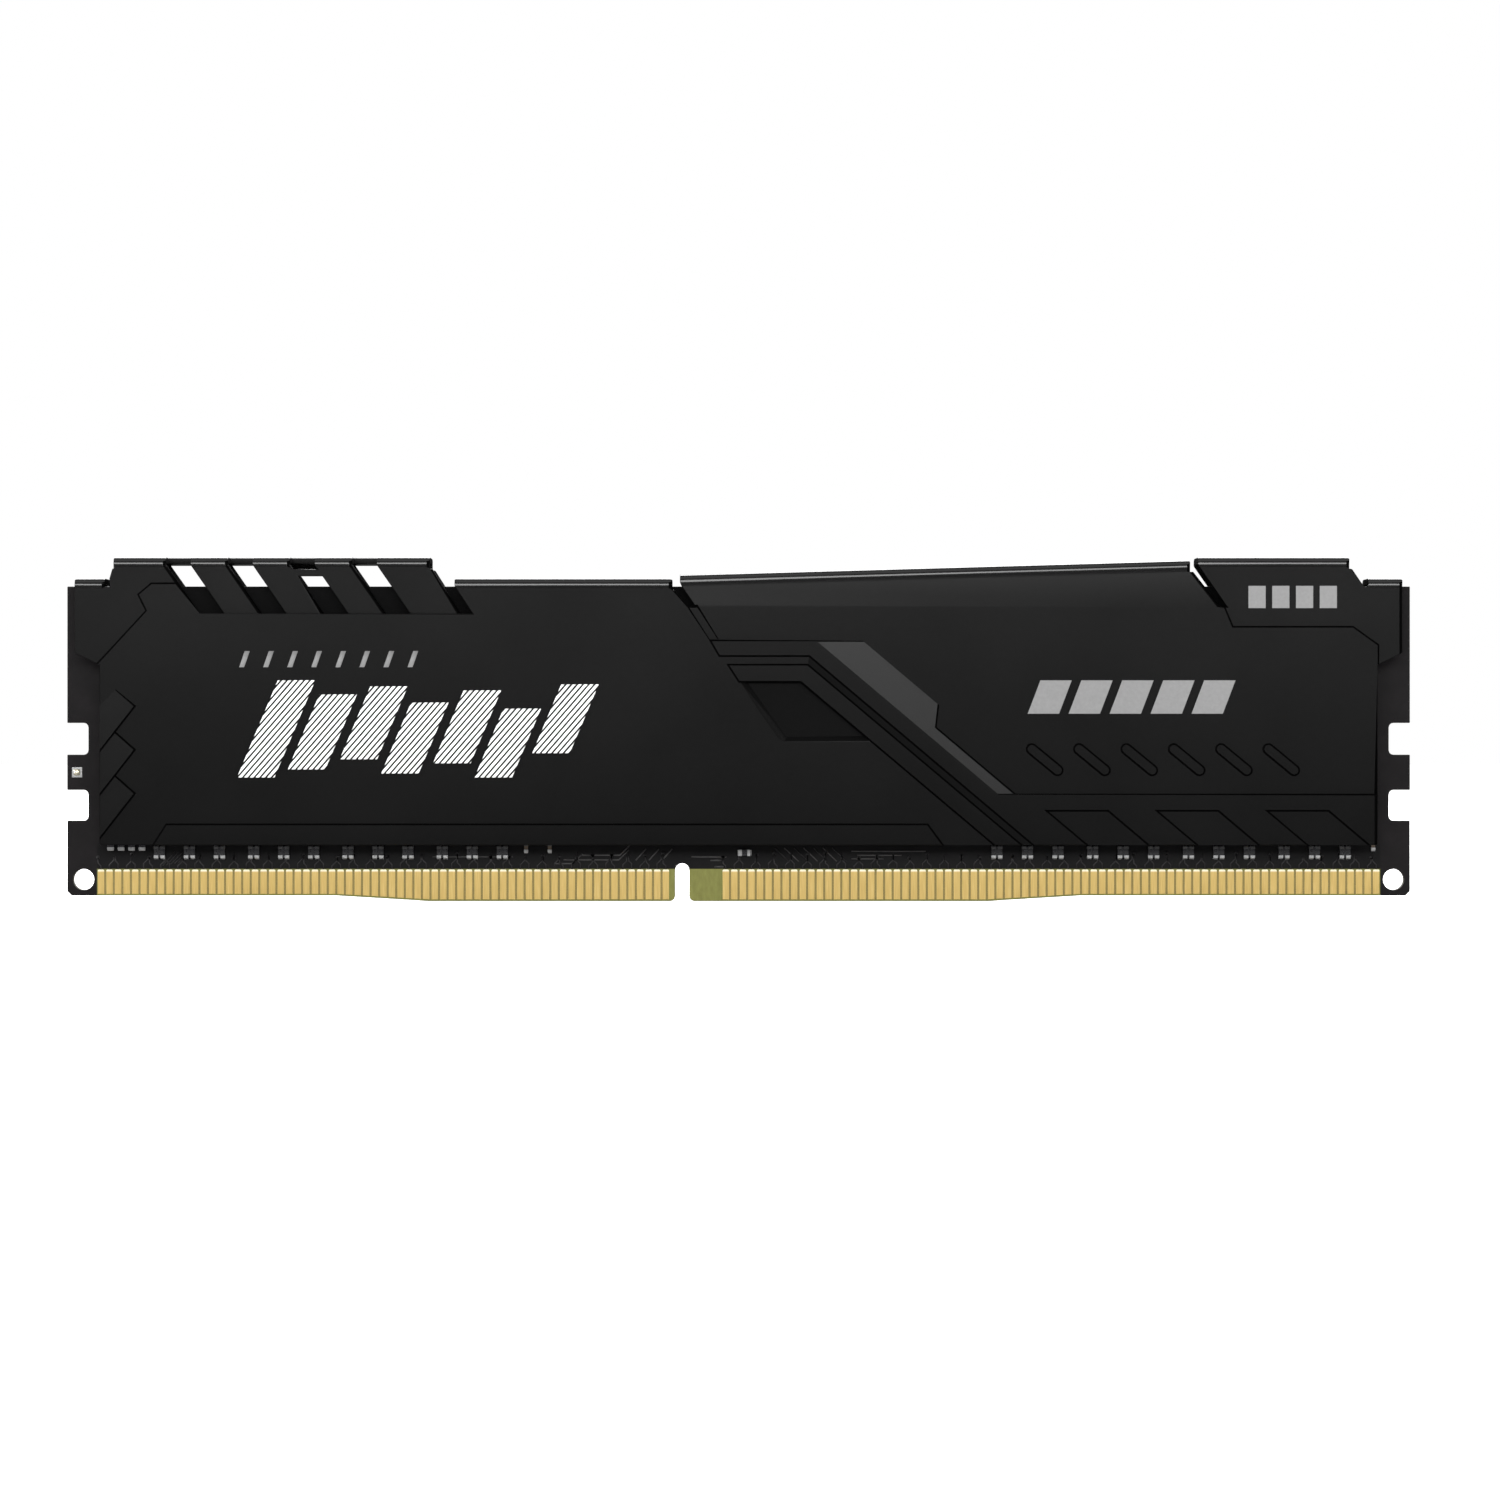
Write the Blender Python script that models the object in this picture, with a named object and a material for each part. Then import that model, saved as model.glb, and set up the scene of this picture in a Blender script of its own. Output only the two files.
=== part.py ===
"""Desktop memory module with a two-plate heat spreader, standing on its contact edge.

X runs along the module, Z is up and the front faces -Y. The origin is on the contact edge,
at the middle of the module. Dimensions are in millimetres and become metres in the meshes.
"""

import math

import bmesh
import bpy
from mathutils import Matrix

MM = 0.001
WELD_DISTANCE = 1e-7
GRID_DECIMALS = 7
ASSEMBLY_NAME = "memory_module"

# Circuit board
BOARD_LENGTH = 133.35
BOARD_HEIGHT = 31.25
BOARD_THICKNESS = 1.4
BOARD_HALF = BOARD_LENGTH / 2
BOARD_FACE = BOARD_THICKNESS / 2
END_RISE = 0.55
LEFT_RAMP = (-39.9, -30.7)
RIGHT_RAMP = (24.7, 33.9)
CORNER_CHAMFER = 0.45
KEY_CENTRE = -5.6
KEY_WIDTH = 1.42
KEY_DEPTH = 3.76
KEY_CORNER = 0.5
LATCH_NOTCHES = ((8.0, 11.05), (14.55, 17.7))
NOTCH_DEPTH = 2.1
NOTCH_RADIUS = 0.45
CORNER_HOLE = (65.05, 2.15)
CORNER_HOLE_RADIUS = 1.05
HOLE_STEPS = 20
KEY_STEPS = 8
KEY_CORNER_STEPS = 3
NOTCH_STEPS = 3

# Edge contacts
CONTACT_PITCH = 0.85
CONTACT_WIDTH = 0.68
CONTACT_TOP = 3.14
CONTACT_EDGE_MARGIN = 0.1
CONTACT_THICKNESS = 0.05
CONTACT_BAR = 0.1
OUTER_CONTACT = 63.325
LEFT_CONTACTS = 67
RIGHT_CONTACTS = 77

# Heat spreader plates, measured outward from the board's middle plane
SEAT_GAP = 0.05
SURFACE_GAP = 0.01
MODULE_THICKNESS = 7.2
OUTER_FACE = MODULE_THICKNESS / 2
PLATE_THICKNESS = 1.0
INNER_FACE = OUTER_FACE - PLATE_THICKNESS
PANEL_DEPTH = 0.2
FRAME_DEPTH = 0.4
POCKET_DEPTH = 0.6
FLANGE_THICKNESS = 0.6
FLANGE_EDGE = 0.1
BEND_RADIUS = 0.75
BEND_START = -18
BEND_STEPS = 7
BEND_OVERLAP = 0.6
SHEET_MARGIN = 0.4
MODULE_HEIGHT = 34.1
LOW_TOP = 32.0
SHOULDER_TOP_LEFT = 32.35
SHOULDER_TOP_RIGHT = 33.8
PLATE_BOTTOM = 5.6
PLATE_HALF = 63.2
EAR_HALF = 65.7
EAR_LOW_OUTER = 24.6
EAR_LOW_INNER = 23.4

# Openings along the plates' top
SLOT_LEAN = 0.69
FIN_SLOT_FLOOR = 28.5
FIN_SLOT_LEFT = -53.3
FIN_SLOT_WIDTH = 2.4
FIN_SLOT_PITCH = 6.14
FIN_SLOTS = 4
BRIDGED_SLOT = 2
BRIDGE = (32.2, 32.9)
CLOSED_SLOT_TOP = 33.4
BRIDGED_SLOT_TOP = 32.55
LEFT_STEP = -61.85
FIN_END = -30.55
FIN_END_LEAN = 0.63
MIDDLE_LEFT = -28.1
MIDDLE_LEFT_LEAN = 0.65
MIDDLE_RIGHT = -6.6
MIDDLE_RIGHT_LEAN = 0.72
SHOULDER_LEFT = -5.8
SHOULDER_EDGE = -5.65
SHOULDER_RIGHT = 44.7
SHOULDER_RIGHT_LEAN = 0.78
CORNER_LEFT = 45.45
CORNER_RIGHT = 60.45
GAP_FLOOR = 29.1
CORNER_RIGHT_FOOT = 61.9
TAB_ENDS = (-62.7, 62.3)
TAB_NOTCH_FLOOR = 31.2
TAB_NOTCH_WIDTH = 0.45
LEFT_SHEET_STEP = (-62.9, -62.3)
FIN_SHEET_STEP = (-29.8, -28.4)
RIGHT_SHEET_STEP = (61.2, 62.6)
ABOVE = 36.0

# Raised ribs and panels
RIB_LEAN = 1.185
RIB_TOP = 25.85
RIB_LOW = 24.3
RIB_LEFT = -2.8
RIB_LEFT_SLANT = 0.9
RIB_BEND = 7.65
RIB_LOW_BEND = 7.0
SECOND_RIB_TOP = 23.45
SECOND_RIB_LOW = 21.75
SECOND_RIB_LEFT = -1.05
SECOND_RIB_LEFT_SLANT = 1.1
SECOND_RIB_BEND = 6.85
SECOND_RIB_LOW_BEND = 6.15
BASE_STRIP_TOP = 10.6
FACET_TOP_RIGHT = 12.3
FACET_BEND = ((19.5, 19.5), (19.5, 17.25))
FACET_OVERLAP = 0.3
FACET_HIGH_DEPTH = 0.02
FACET_LOW_DEPTH = 0.19
POCKET_FOOT = 15.9
POCKET_CORNER = ((4.5, 15.8), (3.9, 16.2))
POCKET_INSET = 0.1
POCKET_RAMP = (0.7, 0.5)
CHANNEL_TOP = (-5.1, -4.1)
CHANNEL_FOOT = (-2.95, -1.95)
LEFT_FRAME_EDGE = ((-58.6, 28.8), (-59.4, 30.4), (-58.1, 31.5))
LEFT_FRAME_LOW = 18.6
FIN_FRAME_END = ((-26.8, 28.5), (-28.25, 31.0))
CORNER_FRAME_EDGE = ((45.2, 32.9), (48.1, 29.1), (48.9, 27.2), (60.8, 27.2), (63.3, 25.4))
CORNER_FRAME_LOW = 20.0
BEVEL_CREASE = 29.15
BEVEL_TILT = math.radians(5)
CREASE_SPAN = (-4.56, 48.2)
TOOTH_TIP = (-59.7, 19.35)
TOOTH_ROOT = (-61.6, 21.0)
TOOTH_PITCH = 4.32
TEETH = 3
TOOTH_LEAN = 0.78
TOOTH_OVERLAP = 0.25
TOOTH_HIGH_DEPTH = 0.01
TOOTH_LOW_DEPTH = 0.17
LEFT_STRIP = ((-58.2, 5.6), (-56.6, 7.65), (18.7, 7.65), (20.9, 5.6))
WINDOW_TOP = 9.0
WINDOW_LEFT = 30.45
WINDOW_WIDTH = 6.1
WINDOW_PITCH = 10.9
WINDOWS = 3
PILL_START = (29.0, 15.1)
PILL_RUN = (2.55, -2.1)
PILL_RADIUS = 0.5
PILL_PITCH = 4.68
PILL_STEPS = 8
PILLS = 6
BELOW = 2.0
BESIDE = 68.0
PANEL_SHEET = ((0, 20), 140, 44)
PROUD_FACE = OUTER_FACE + 1

# Parts on the board
CHIP_SIZE = (7.5, 11.0, 1.1)
CHIP_CENTRE_HEIGHT = 17.4
CHIP_FIRST = 14.5
CHIP_PITCH = 13.0
CHIPS_PER_SIDE = 4
CHIP_CHAMFER = 0.15
SPD_SIZE = (3.0, 2.0, 0.75)
SPD_CENTRE = (-1.0, 10.4)
PAD_GAP = 0.05
PAD_HEIGHT = 12.4
FRONT_PAD_LENGTH = 47.6
BACK_PAD_LENGTH = 120.0
CAPACITOR_SIZE = (0.5, 1.0, 0.5)
CAPACITOR_HEIGHT = 25.4
ARRAY_SIZE = (1.1, 1.4, 0.4)
ARRAY_NOTCH = (0.12, 0.3)
ARRAY_HEIGHT = 4.87
ARRAYS_PER_HALF = 12
ARRAY_GROUP_SIZE = 3
LEFT_ARRAY_START = -57.5
LEFT_ARRAY_STEP = 2.98
LEFT_GROUP_PITCH = 9.36
RIGHT_ARRAY_START = 25.65
RIGHT_ARRAY_STEP = 3.03
RIGHT_GROUP_PITCH = 9.5
CHIP_RESISTOR_SIZE = (0.65, 0.9, 0.35)
END_RESISTOR_START = -62.35
END_RESISTOR_PITCH = 1.04
END_RESISTORS = 4
END_RESISTOR_HEIGHT = 5.6
SINGLE_SIZE = (0.4, 0.8, 0.35)
SINGLES = (("left_filter_capacitor", -21.1, 5.3), ("right_filter_capacitor", -18.75, 5.3),
           ("end_capacitor", 63.0, 5.5))
SENSE_RESISTOR = (0.6, 4.8)
SENSE_SIZE = (1.1, 0.6, 0.35)
GROUND_PAD = (-65.7, 12.8)
GROUND_PAD_SIZE = 1.0


def clear_scene():
    for obj in list(bpy.data.objects):
        bpy.data.objects.remove(obj, do_unlink=True)


def new_collection(name):
    collection = bpy.data.collections.new(name)
    bpy.context.scene.collection.children.link(collection)
    return collection


def new_material(name, colour, roughness, metallic):
    material = bpy.data.materials.new(name)
    material.use_nodes = True
    shader = material.node_tree.nodes["Principled BSDF"]
    shader.inputs["Base Color"].default_value = (*colour, 1)
    shader.inputs["Roughness"].default_value = roughness
    shader.inputs["Metallic"].default_value = metallic
    material.diffuse_color = (*colour, 1)
    return material


def mesh_from_curve(name, outlines, thickness, placement):
    """The closed outlines filled and extruded by the thickness. An outline inside another is a hole.

    Corners are rounded to a fine grid, so that faces meant to be flush are exactly in one plane.
    """
    curve = bpy.data.curves.new(name, "CURVE")
    curve.dimensions = "2D"
    curve.fill_mode = "BOTH"
    curve.extrude = thickness * MM / 2
    for outline in outlines:
        spline = curve.splines.new("POLY")
        spline.points.add(len(outline) - 1)
        spline.use_cyclic_u = True
        for point, (across, up) in zip(spline.points, outline):
            point.co = (across * MM, up * MM, 0, 1)
    guide = bpy.data.objects.new(name + "_outline", curve)
    bpy.context.scene.collection.objects.link(guide)
    bpy.context.view_layer.update()
    graph = bpy.context.evaluated_depsgraph_get()
    mesh = bpy.data.meshes.new_from_object(guide.evaluated_get(graph))
    mesh.name = name
    bpy.data.objects.remove(guide, do_unlink=True)
    mesh.transform(placement)
    shape = bmesh.new()
    shape.from_mesh(mesh)
    for vertex in shape.verts:
        vertex.co = [round(value, GRID_DECIMALS) for value in vertex.co]
    bmesh.ops.remove_doubles(shape, verts=shape.verts, dist=WELD_DISTANCE)
    bmesh.ops.recalc_face_normals(shape, faces=shape.faces)
    shape.to_mesh(mesh)
    shape.free()
    return mesh


def upright_mesh(name, outlines, near, far):
    """A solid of (x, z) outlines between two distances along Y."""
    middle = Matrix.Translation((0, (near + far) / 2 * MM, 0))
    return mesh_from_curve(name, outlines, abs(far - near), middle @ Matrix.Rotation(math.pi / 2, 4, "X"))


def rail_mesh(name, outline, left, right):
    """A solid of one (y, z) outline that runs along X from left to right."""
    along_x = Matrix(((0, 0, 1, (left + right) / 2 * MM), (1, 0, 0, 0), (0, 1, 0, 0), (0, 0, 0, 1)))
    return mesh_from_curve(name, [outline], right - left, along_x)


def add_part(name, mesh, material, collection):
    part = bpy.data.objects.new(name, mesh)
    collection.objects.link(part)
    if material not in list(mesh.materials):
        mesh.materials.append(material)
    return part


def add_helper(name, mesh, collection):
    helper = bpy.data.objects.new(name, mesh)
    helper.hide_render = True
    helper.display_type = "WIRE"
    collection.objects.link(helper)
    return helper


def combine(part, helper, operation):
    modifier = part.modifiers.new(helper.name, "BOOLEAN")
    modifier.operation = operation
    modifier.object = helper
    modifier.solver = "EXACT"


def joined_mesh(name, meshes):
    """One mesh that holds several bodies, for use as a single Boolean operand."""
    shape = bmesh.new()
    for mesh in meshes:
        shape.from_mesh(mesh)
        bpy.data.meshes.remove(mesh)
    result = bpy.data.meshes.new(name)
    shape.to_mesh(result)
    shape.free()
    return result


def arc(centre, radius, start, end, steps):
    """Points on an arc, both ends included, with the angles in degrees."""
    angles = [math.radians(start + (end - start) * i / steps) for i in range(steps + 1)]
    return [(centre[0] + radius * math.cos(a), centre[1] + radius * math.sin(a)) for a in angles]


def circle(centre, radius, steps):
    return arc(centre, radius, 0, 360 - 360 / steps, steps - 1)


def sloped_mesh(name, outline, side, core, high, low, depths):
    """A solid whose outer face slopes across the outline, from the first depth at high to the second at low.

    high and low are (x, z) points. Only the direction from one to the other sets the slope.
    """
    mesh = upright_mesh(name, [outline], side * core, side * OUTER_FACE)
    across, up = low[0] - high[0], low[1] - high[1]
    reach = across ** 2 + up ** 2
    for vertex in mesh.vertices:
        if abs(vertex.co.y) < (core + OUTER_FACE) / 2 * MM:
            continue
        share = ((vertex.co.x / MM - high[0]) * across + (vertex.co.z / MM - high[1]) * up) / reach
        depth = depths[0] + (depths[1] - depths[0]) * share
        vertex.co.y = round(side * (OUTER_FACE - depth) * MM, GRID_DECIMALS)
    return mesh


def rectangle(centre, width, height):
    x, z = centre
    return [(x - width / 2, z - height / 2), (x + width / 2, z - height / 2),
            (x + width / 2, z + height / 2), (x - width / 2, z + height / 2)]


def leaning(x, z, new_z, lean):
    """Where a line that drifts to the right as it goes down, through (x, z), reaches new_z."""
    return (x + (z - new_z) * lean, new_z)


def board_edge(x):
    """Height of the board's lower edge, which rises towards both ends."""
    if x < LEFT_RAMP[1]:
        return END_RISE * min(1, (LEFT_RAMP[1] - x) / (LEFT_RAMP[1] - LEFT_RAMP[0]))
    if x > RIGHT_RAMP[0]:
        return END_RISE * min(1, (x - RIGHT_RAMP[0]) / (RIGHT_RAMP[1] - RIGHT_RAMP[0]))
    return 0.0


def key_notch():
    """The round-topped key slot in the contact edge, from left to right."""
    half = KEY_WIDTH / 2
    left, right = KEY_CENTRE - half, KEY_CENTRE + half
    dome = arc((KEY_CENTRE, KEY_DEPTH - half), half, 180, 0, KEY_STEPS)
    left_foot = arc((left - KEY_CORNER, KEY_CORNER), KEY_CORNER, -90, 0, KEY_CORNER_STEPS)
    right_foot = arc((right + KEY_CORNER, KEY_CORNER), KEY_CORNER, 180, 270, KEY_CORNER_STEPS)
    return [*left_foot, *dome, *right_foot]


def right_side():
    """The board's right-hand edge from bottom to top, with its latch notches."""
    floor = BOARD_HALF - NOTCH_DEPTH
    corner_x = floor + NOTCH_RADIUS
    points = [(BOARD_HALF - CORNER_CHAMFER, END_RISE), (BOARD_HALF, END_RISE + CORNER_CHAMFER)]
    for low, high in LATCH_NOTCHES:
        points.append((BOARD_HALF, low))
        points += arc((corner_x, low + NOTCH_RADIUS), NOTCH_RADIUS, 270, 180, NOTCH_STEPS)
        points += arc((corner_x, high - NOTCH_RADIUS), NOTCH_RADIUS, 180, 90, NOTCH_STEPS)
        points.append((BOARD_HALF, high))
    return [*points, (BOARD_HALF, BOARD_HEIGHT)]


def circuit_board(material, collection):
    left_side = [(-x, z) for x, z in reversed(right_side())]
    edge = [(LEFT_RAMP[0], END_RISE), (LEFT_RAMP[1], 0), *key_notch(), (RIGHT_RAMP[0], 0),
            (RIGHT_RAMP[1], END_RISE)]
    hole_x, hole_z = CORNER_HOLE
    holes = [circle((side * hole_x, hole_z), CORNER_HOLE_RADIUS, HOLE_STEPS) for side in (-1, 1)]
    mesh = upright_mesh("circuit_board", [edge + right_side() + left_side, *holes], -BOARD_FACE, BOARD_FACE)
    add_part("circuit_board", mesh, material, collection)


def contact_comb(first, count):
    """Outline of a row of contacts, joined along their tops. first is the first contact's centre."""
    half = CONTACT_WIDTH / 2
    last = first + (count - 1) * CONTACT_PITCH
    points = [(first - half, CONTACT_TOP), (last + half, CONTACT_TOP)]
    for i in reversed(range(count)):
        centre = first + i * CONTACT_PITCH
        right, left = centre + half, centre - half
        points.append((right, board_edge(right) + CONTACT_EDGE_MARGIN))
        points.append((left, board_edge(left) + CONTACT_EDGE_MARGIN))
        if i:
            points += [(left, CONTACT_TOP - CONTACT_BAR), (right - CONTACT_PITCH, CONTACT_TOP - CONTACT_BAR)]
    return points


def edge_contacts(material, collection):
    rows = (("left", -OUTER_CONTACT, LEFT_CONTACTS),
            ("right", OUTER_CONTACT - (RIGHT_CONTACTS - 1) * CONTACT_PITCH, RIGHT_CONTACTS))
    near = BOARD_FACE + SURFACE_GAP
    for face, side in (("front", -1), ("back", 1)):
        for end, first, count in rows:
            name = f"{face}_{end}_edge_contacts"
            outline = contact_comb(first, count)
            mesh = upright_mesh(name, [outline], side * near, side * (near + CONTACT_THICKNESS))
            add_part(name, mesh, material, collection)


def bend_profile(side, top, face):
    """Section of a plate's top bend: down its face, round its slightly bulging bend and along the flange."""
    inner = INNER_FACE
    low = top - BEND_RADIUS - BEND_OVERLAP
    centre = (face - BEND_RADIUS * math.cos(math.radians(BEND_START)), top - BEND_RADIUS)
    bend = arc(centre, BEND_RADIUS, BEND_START, 90, BEND_STEPS)
    flange = [(FLANGE_EDGE, top), (FLANGE_EDGE, top - FLANGE_THICKNESS), (inner, top - FLANGE_THICKNESS)]
    return [(side * y, z) for y, z in [(face, low), *bend, *flange, (inner, low)]]


def slope_shoulder(mesh, side):
    """Raises the shoulder's bend towards the right, and draws its face back to follow the tilted band."""
    slope = (SHOULDER_TOP_RIGHT - SHOULDER_TOP_LEFT) / (SHOULDER_RIGHT - SHOULDER_LEFT)
    for vertex in mesh.vertices:
        rise = slope * (vertex.co.x - SHOULDER_LEFT * MM)
        vertex.co.z += rise
        if abs(vertex.co.y) > INNER_FACE * MM + WELD_DISTANCE:
            vertex.co.y -= side * math.tan(BEVEL_TILT) * rise
        vertex.co = [round(value, GRID_DECIMALS) for value in vertex.co]


def top_bends(side):
    """The flanged sections along one plate's top edge, as one mesh of separate bodies."""
    frame_face = OUTER_FACE - FRAME_DEPTH
    panel_face = OUTER_FACE - PANEL_DEPTH
    shoulder_face = panel_face - math.tan(BEVEL_TILT) * (SHOULDER_TOP_LEFT - BEND_RADIUS - BEVEL_CREASE)
    sections = ((-EAR_HALF, TAB_ENDS[0], LOW_TOP, frame_face),
                (LEFT_STEP, FIN_END, MODULE_HEIGHT, frame_face),
                (MIDDLE_LEFT, MIDDLE_RIGHT, LOW_TOP, panel_face),
                (SHOULDER_LEFT, SHOULDER_RIGHT, SHOULDER_TOP_LEFT, shoulder_face),
                (CORNER_LEFT, CORNER_RIGHT, MODULE_HEIGHT, frame_face),
                (TAB_ENDS[1], EAR_HALF, LOW_TOP, frame_face))
    meshes = []
    for left, right, top, face in sections:
        mesh = rail_mesh("bend", bend_profile(side, top, face), left, right)
        if left == SHOULDER_LEFT:
            slope_shoulder(mesh, side)
        meshes.append(mesh)
    return joined_mesh("top_bends", meshes)


def plate_outline():
    """The flat part of a plate. Its top stops just under the bends, and runs on across the gaps."""
    low, high = LOW_TOP - BEND_RADIUS - SHEET_MARGIN, MODULE_HEIGHT - BEND_RADIUS - SHEET_MARGIN
    shoulder_left = SHOULDER_TOP_LEFT - BEND_RADIUS - SHEET_MARGIN
    shoulder_right = SHOULDER_TOP_RIGHT - BEND_RADIUS - SHEET_MARGIN
    middle_gap, corner_gap = (MIDDLE_RIGHT + SHOULDER_LEFT) / 2, (SHOULDER_RIGHT + CORNER_LEFT) / 2
    left_side = [(-PLATE_HALF, PLATE_BOTTOM), (-PLATE_HALF, EAR_LOW_INNER), (-EAR_HALF, EAR_LOW_OUTER)]
    right_side = [(-x, z) for x, z in reversed(left_side)]
    left = [(-EAR_HALF, low), (LEFT_SHEET_STEP[0], low), (LEFT_SHEET_STEP[1], high)]
    fins = [(FIN_SHEET_STEP[0], high), (FIN_SHEET_STEP[1], low), (middle_gap, low)]
    shoulder = [(middle_gap, shoulder_left), (corner_gap, shoulder_right)]
    corner = [(corner_gap, high), (RIGHT_SHEET_STEP[0], high), (RIGHT_SHEET_STEP[1], low), (EAR_HALF, low)]
    return [*left_side, *left, *fins, *shoulder, *corner, *right_side]


def leaning_slot(left, floor, width, low, high):
    """A parallelogram slot whose left side reaches the floor at x = left, kept between two heights."""
    bottom, top = leaning(left, floor, low, SLOT_LEAN), leaning(left, floor, high, SLOT_LEAN)
    return [bottom, (bottom[0] + width, low), (top[0] + width, high), top]


def fin_slots(closed):
    """The four slots between the fins. A closed slot stops below the plate's top strip."""
    bend = MODULE_HEIGHT - BEND_RADIUS
    slots = []
    for i in range(FIN_SLOTS):
        left = FIN_SLOT_LEFT + i * FIN_SLOT_PITCH
        if closed:
            top = BRIDGED_SLOT_TOP if i == BRIDGED_SLOT else CLOSED_SLOT_TOP
            slots.append(leaning_slot(left, FIN_SLOT_FLOOR, FIN_SLOT_WIDTH, FIN_SLOT_FLOOR, top))
            continue
        low = FIN_SLOT_FLOOR
        if i == BRIDGED_SLOT:
            slots.append(leaning_slot(left, FIN_SLOT_FLOOR, FIN_SLOT_WIDTH, low, BRIDGE[0]))
            low = BRIDGE[1]
        slot = leaning_slot(left, FIN_SLOT_FLOOR, FIN_SLOT_WIDTH, low, bend)
        slots.append([*slot[:3], (slot[2][0], ABOVE), (slot[3][0], ABOVE), slot[3]])
    return slots


def section_gaps():
    """The gaps that part the top sections from each other: upright at the bends, and leaning below."""
    bend, low_bend = MODULE_HEIGHT - BEND_RADIUS, LOW_TOP - BEND_RADIUS
    fin_gap = [(FIN_END, ABOVE), (FIN_END, bend), leaning(FIN_END, bend, FIN_SLOT_FLOOR, FIN_END_LEAN),
               leaning(MIDDLE_LEFT, low_bend, FIN_SLOT_FLOOR, MIDDLE_LEFT_LEAN), (MIDDLE_LEFT, low_bend),
               (MIDDLE_LEFT, ABOVE)]
    middle_gap = [(MIDDLE_RIGHT, ABOVE), (MIDDLE_RIGHT, low_bend),
                  leaning(MIDDLE_RIGHT, low_bend, GAP_FLOOR, MIDDLE_RIGHT_LEAN),
                  leaning(SHOULDER_EDGE, low_bend, GAP_FLOOR, SLOT_LEAN), (SHOULDER_EDGE, low_bend),
                  (SHOULDER_LEFT, SHOULDER_TOP_LEFT - BEND_RADIUS), (SHOULDER_LEFT, ABOVE)]
    shoulder_bend = SHOULDER_TOP_RIGHT - BEND_RADIUS
    corner_gap = [(SHOULDER_RIGHT, ABOVE), (SHOULDER_RIGHT, shoulder_bend),
                  leaning(SHOULDER_RIGHT, shoulder_bend, GAP_FLOOR, SHOULDER_RIGHT_LEAN),
                  leaning(CORNER_LEFT, bend, GAP_FLOOR, SLOT_LEAN), (CORNER_LEFT, bend),
                  (CORNER_LEFT, ABOVE)]
    return [fin_gap, middle_gap, corner_gap]


def step_notches():
    """Clears the corners beside the two low end tabs, down to the foot of their bend."""
    bend = MODULE_HEIGHT - BEND_RADIUS
    left_end, right_end = TAB_ENDS
    notch_edge = left_end + TAB_NOTCH_WIDTH
    left = [(left_end, TAB_NOTCH_FLOOR), (notch_edge, TAB_NOTCH_FLOOR), (notch_edge, LOW_TOP),
            (LEFT_STEP, bend), (LEFT_STEP, ABOVE), (left_end, ABOVE)]
    right = [(right_end, TAB_NOTCH_FLOOR), (right_end, ABOVE), (CORNER_RIGHT, ABOVE), (CORNER_RIGHT, bend),
             (CORNER_RIGHT_FOOT, TAB_NOTCH_FLOOR)]
    return [left, right]


def rib_outlines():
    """The two bent ribs. The first widens into the base strip along the right of the plate."""
    first = [(RIB_LEFT, RIB_TOP), (RIB_BEND, RIB_TOP), leaning(RIB_BEND, RIB_TOP, BASE_STRIP_TOP, RIB_LEAN),
             (BESIDE, BASE_STRIP_TOP), (BESIDE, BELOW), leaning(RIB_LOW_BEND, RIB_LOW, BELOW, RIB_LEAN),
             (RIB_LOW_BEND, RIB_LOW), (RIB_LEFT + RIB_LEFT_SLANT, RIB_LOW)]
    second = [(SECOND_RIB_LEFT, SECOND_RIB_TOP), (SECOND_RIB_BEND, SECOND_RIB_TOP),
              leaning(SECOND_RIB_BEND, SECOND_RIB_TOP, BELOW, RIB_LEAN),
              leaning(SECOND_RIB_LOW_BEND, SECOND_RIB_LOW, BELOW, RIB_LEAN),
              (SECOND_RIB_LOW_BEND, SECOND_RIB_LOW),
              (SECOND_RIB_LEFT + SECOND_RIB_LEFT_SLANT, SECOND_RIB_LOW)]
    return [first, second]


def base_windows():
    """Leaning recesses in the base strip, open at the plate's lower edge."""
    windows = []
    for i in range(WINDOWS):
        left, right = WINDOW_LEFT + i * WINDOW_PITCH, WINDOW_LEFT + i * WINDOW_PITCH + WINDOW_WIDTH
        foot = BELOW + 1
        windows.append([(left, WINDOW_TOP), (right, WINDOW_TOP), leaning(right, WINDOW_TOP, foot, RIB_LEAN),
                        leaning(left, WINDOW_TOP, foot, RIB_LEAN)])
    return windows


def tooth_outline(number):
    """One scale on the plate's left edge: its root, its tip and its two feet, tucked under the one above."""
    drop = number * TOOTH_PITCH
    root, tip = (TOOTH_ROOT[0], TOOTH_ROOT[1] - drop), (TOOTH_TIP[0], TOOTH_TIP[1] - drop)
    edge = -PLATE_HALF
    foot = (edge, tip[1] - (tip[0] - edge) / TOOTH_LEAN)
    if number:
        tuck = TOOTH_OVERLAP
        return [(root[0] - tuck, root[1] + tuck), tip, foot, (edge, foot[1] + TOOTH_PITCH + tuck)]
    return [root, tip, foot, (edge, root[1] - (root[0] - edge))]


def pill(x, z):
    """A round-ended bar that leans along PILL_RUN from (x, z)."""
    heading = math.degrees(math.atan2(PILL_RUN[1], PILL_RUN[0]))
    far_end = (x + PILL_RUN[0], z + PILL_RUN[1])
    return [*arc((x, z), PILL_RADIUS, heading + 90, heading + 270, PILL_STEPS),
            *arc(far_end, PILL_RADIUS, heading - 90, heading + 90, PILL_STEPS)]


def raised_outlines():
    """Everything on a plate that stands at its outermost level."""
    strip = [(LEFT_STRIP[0][0] - 2, BELOW), *LEFT_STRIP[1:3], (LEFT_STRIP[3][0] + 2, BELOW)]
    return [*rib_outlines(), *base_windows(), strip]


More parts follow.
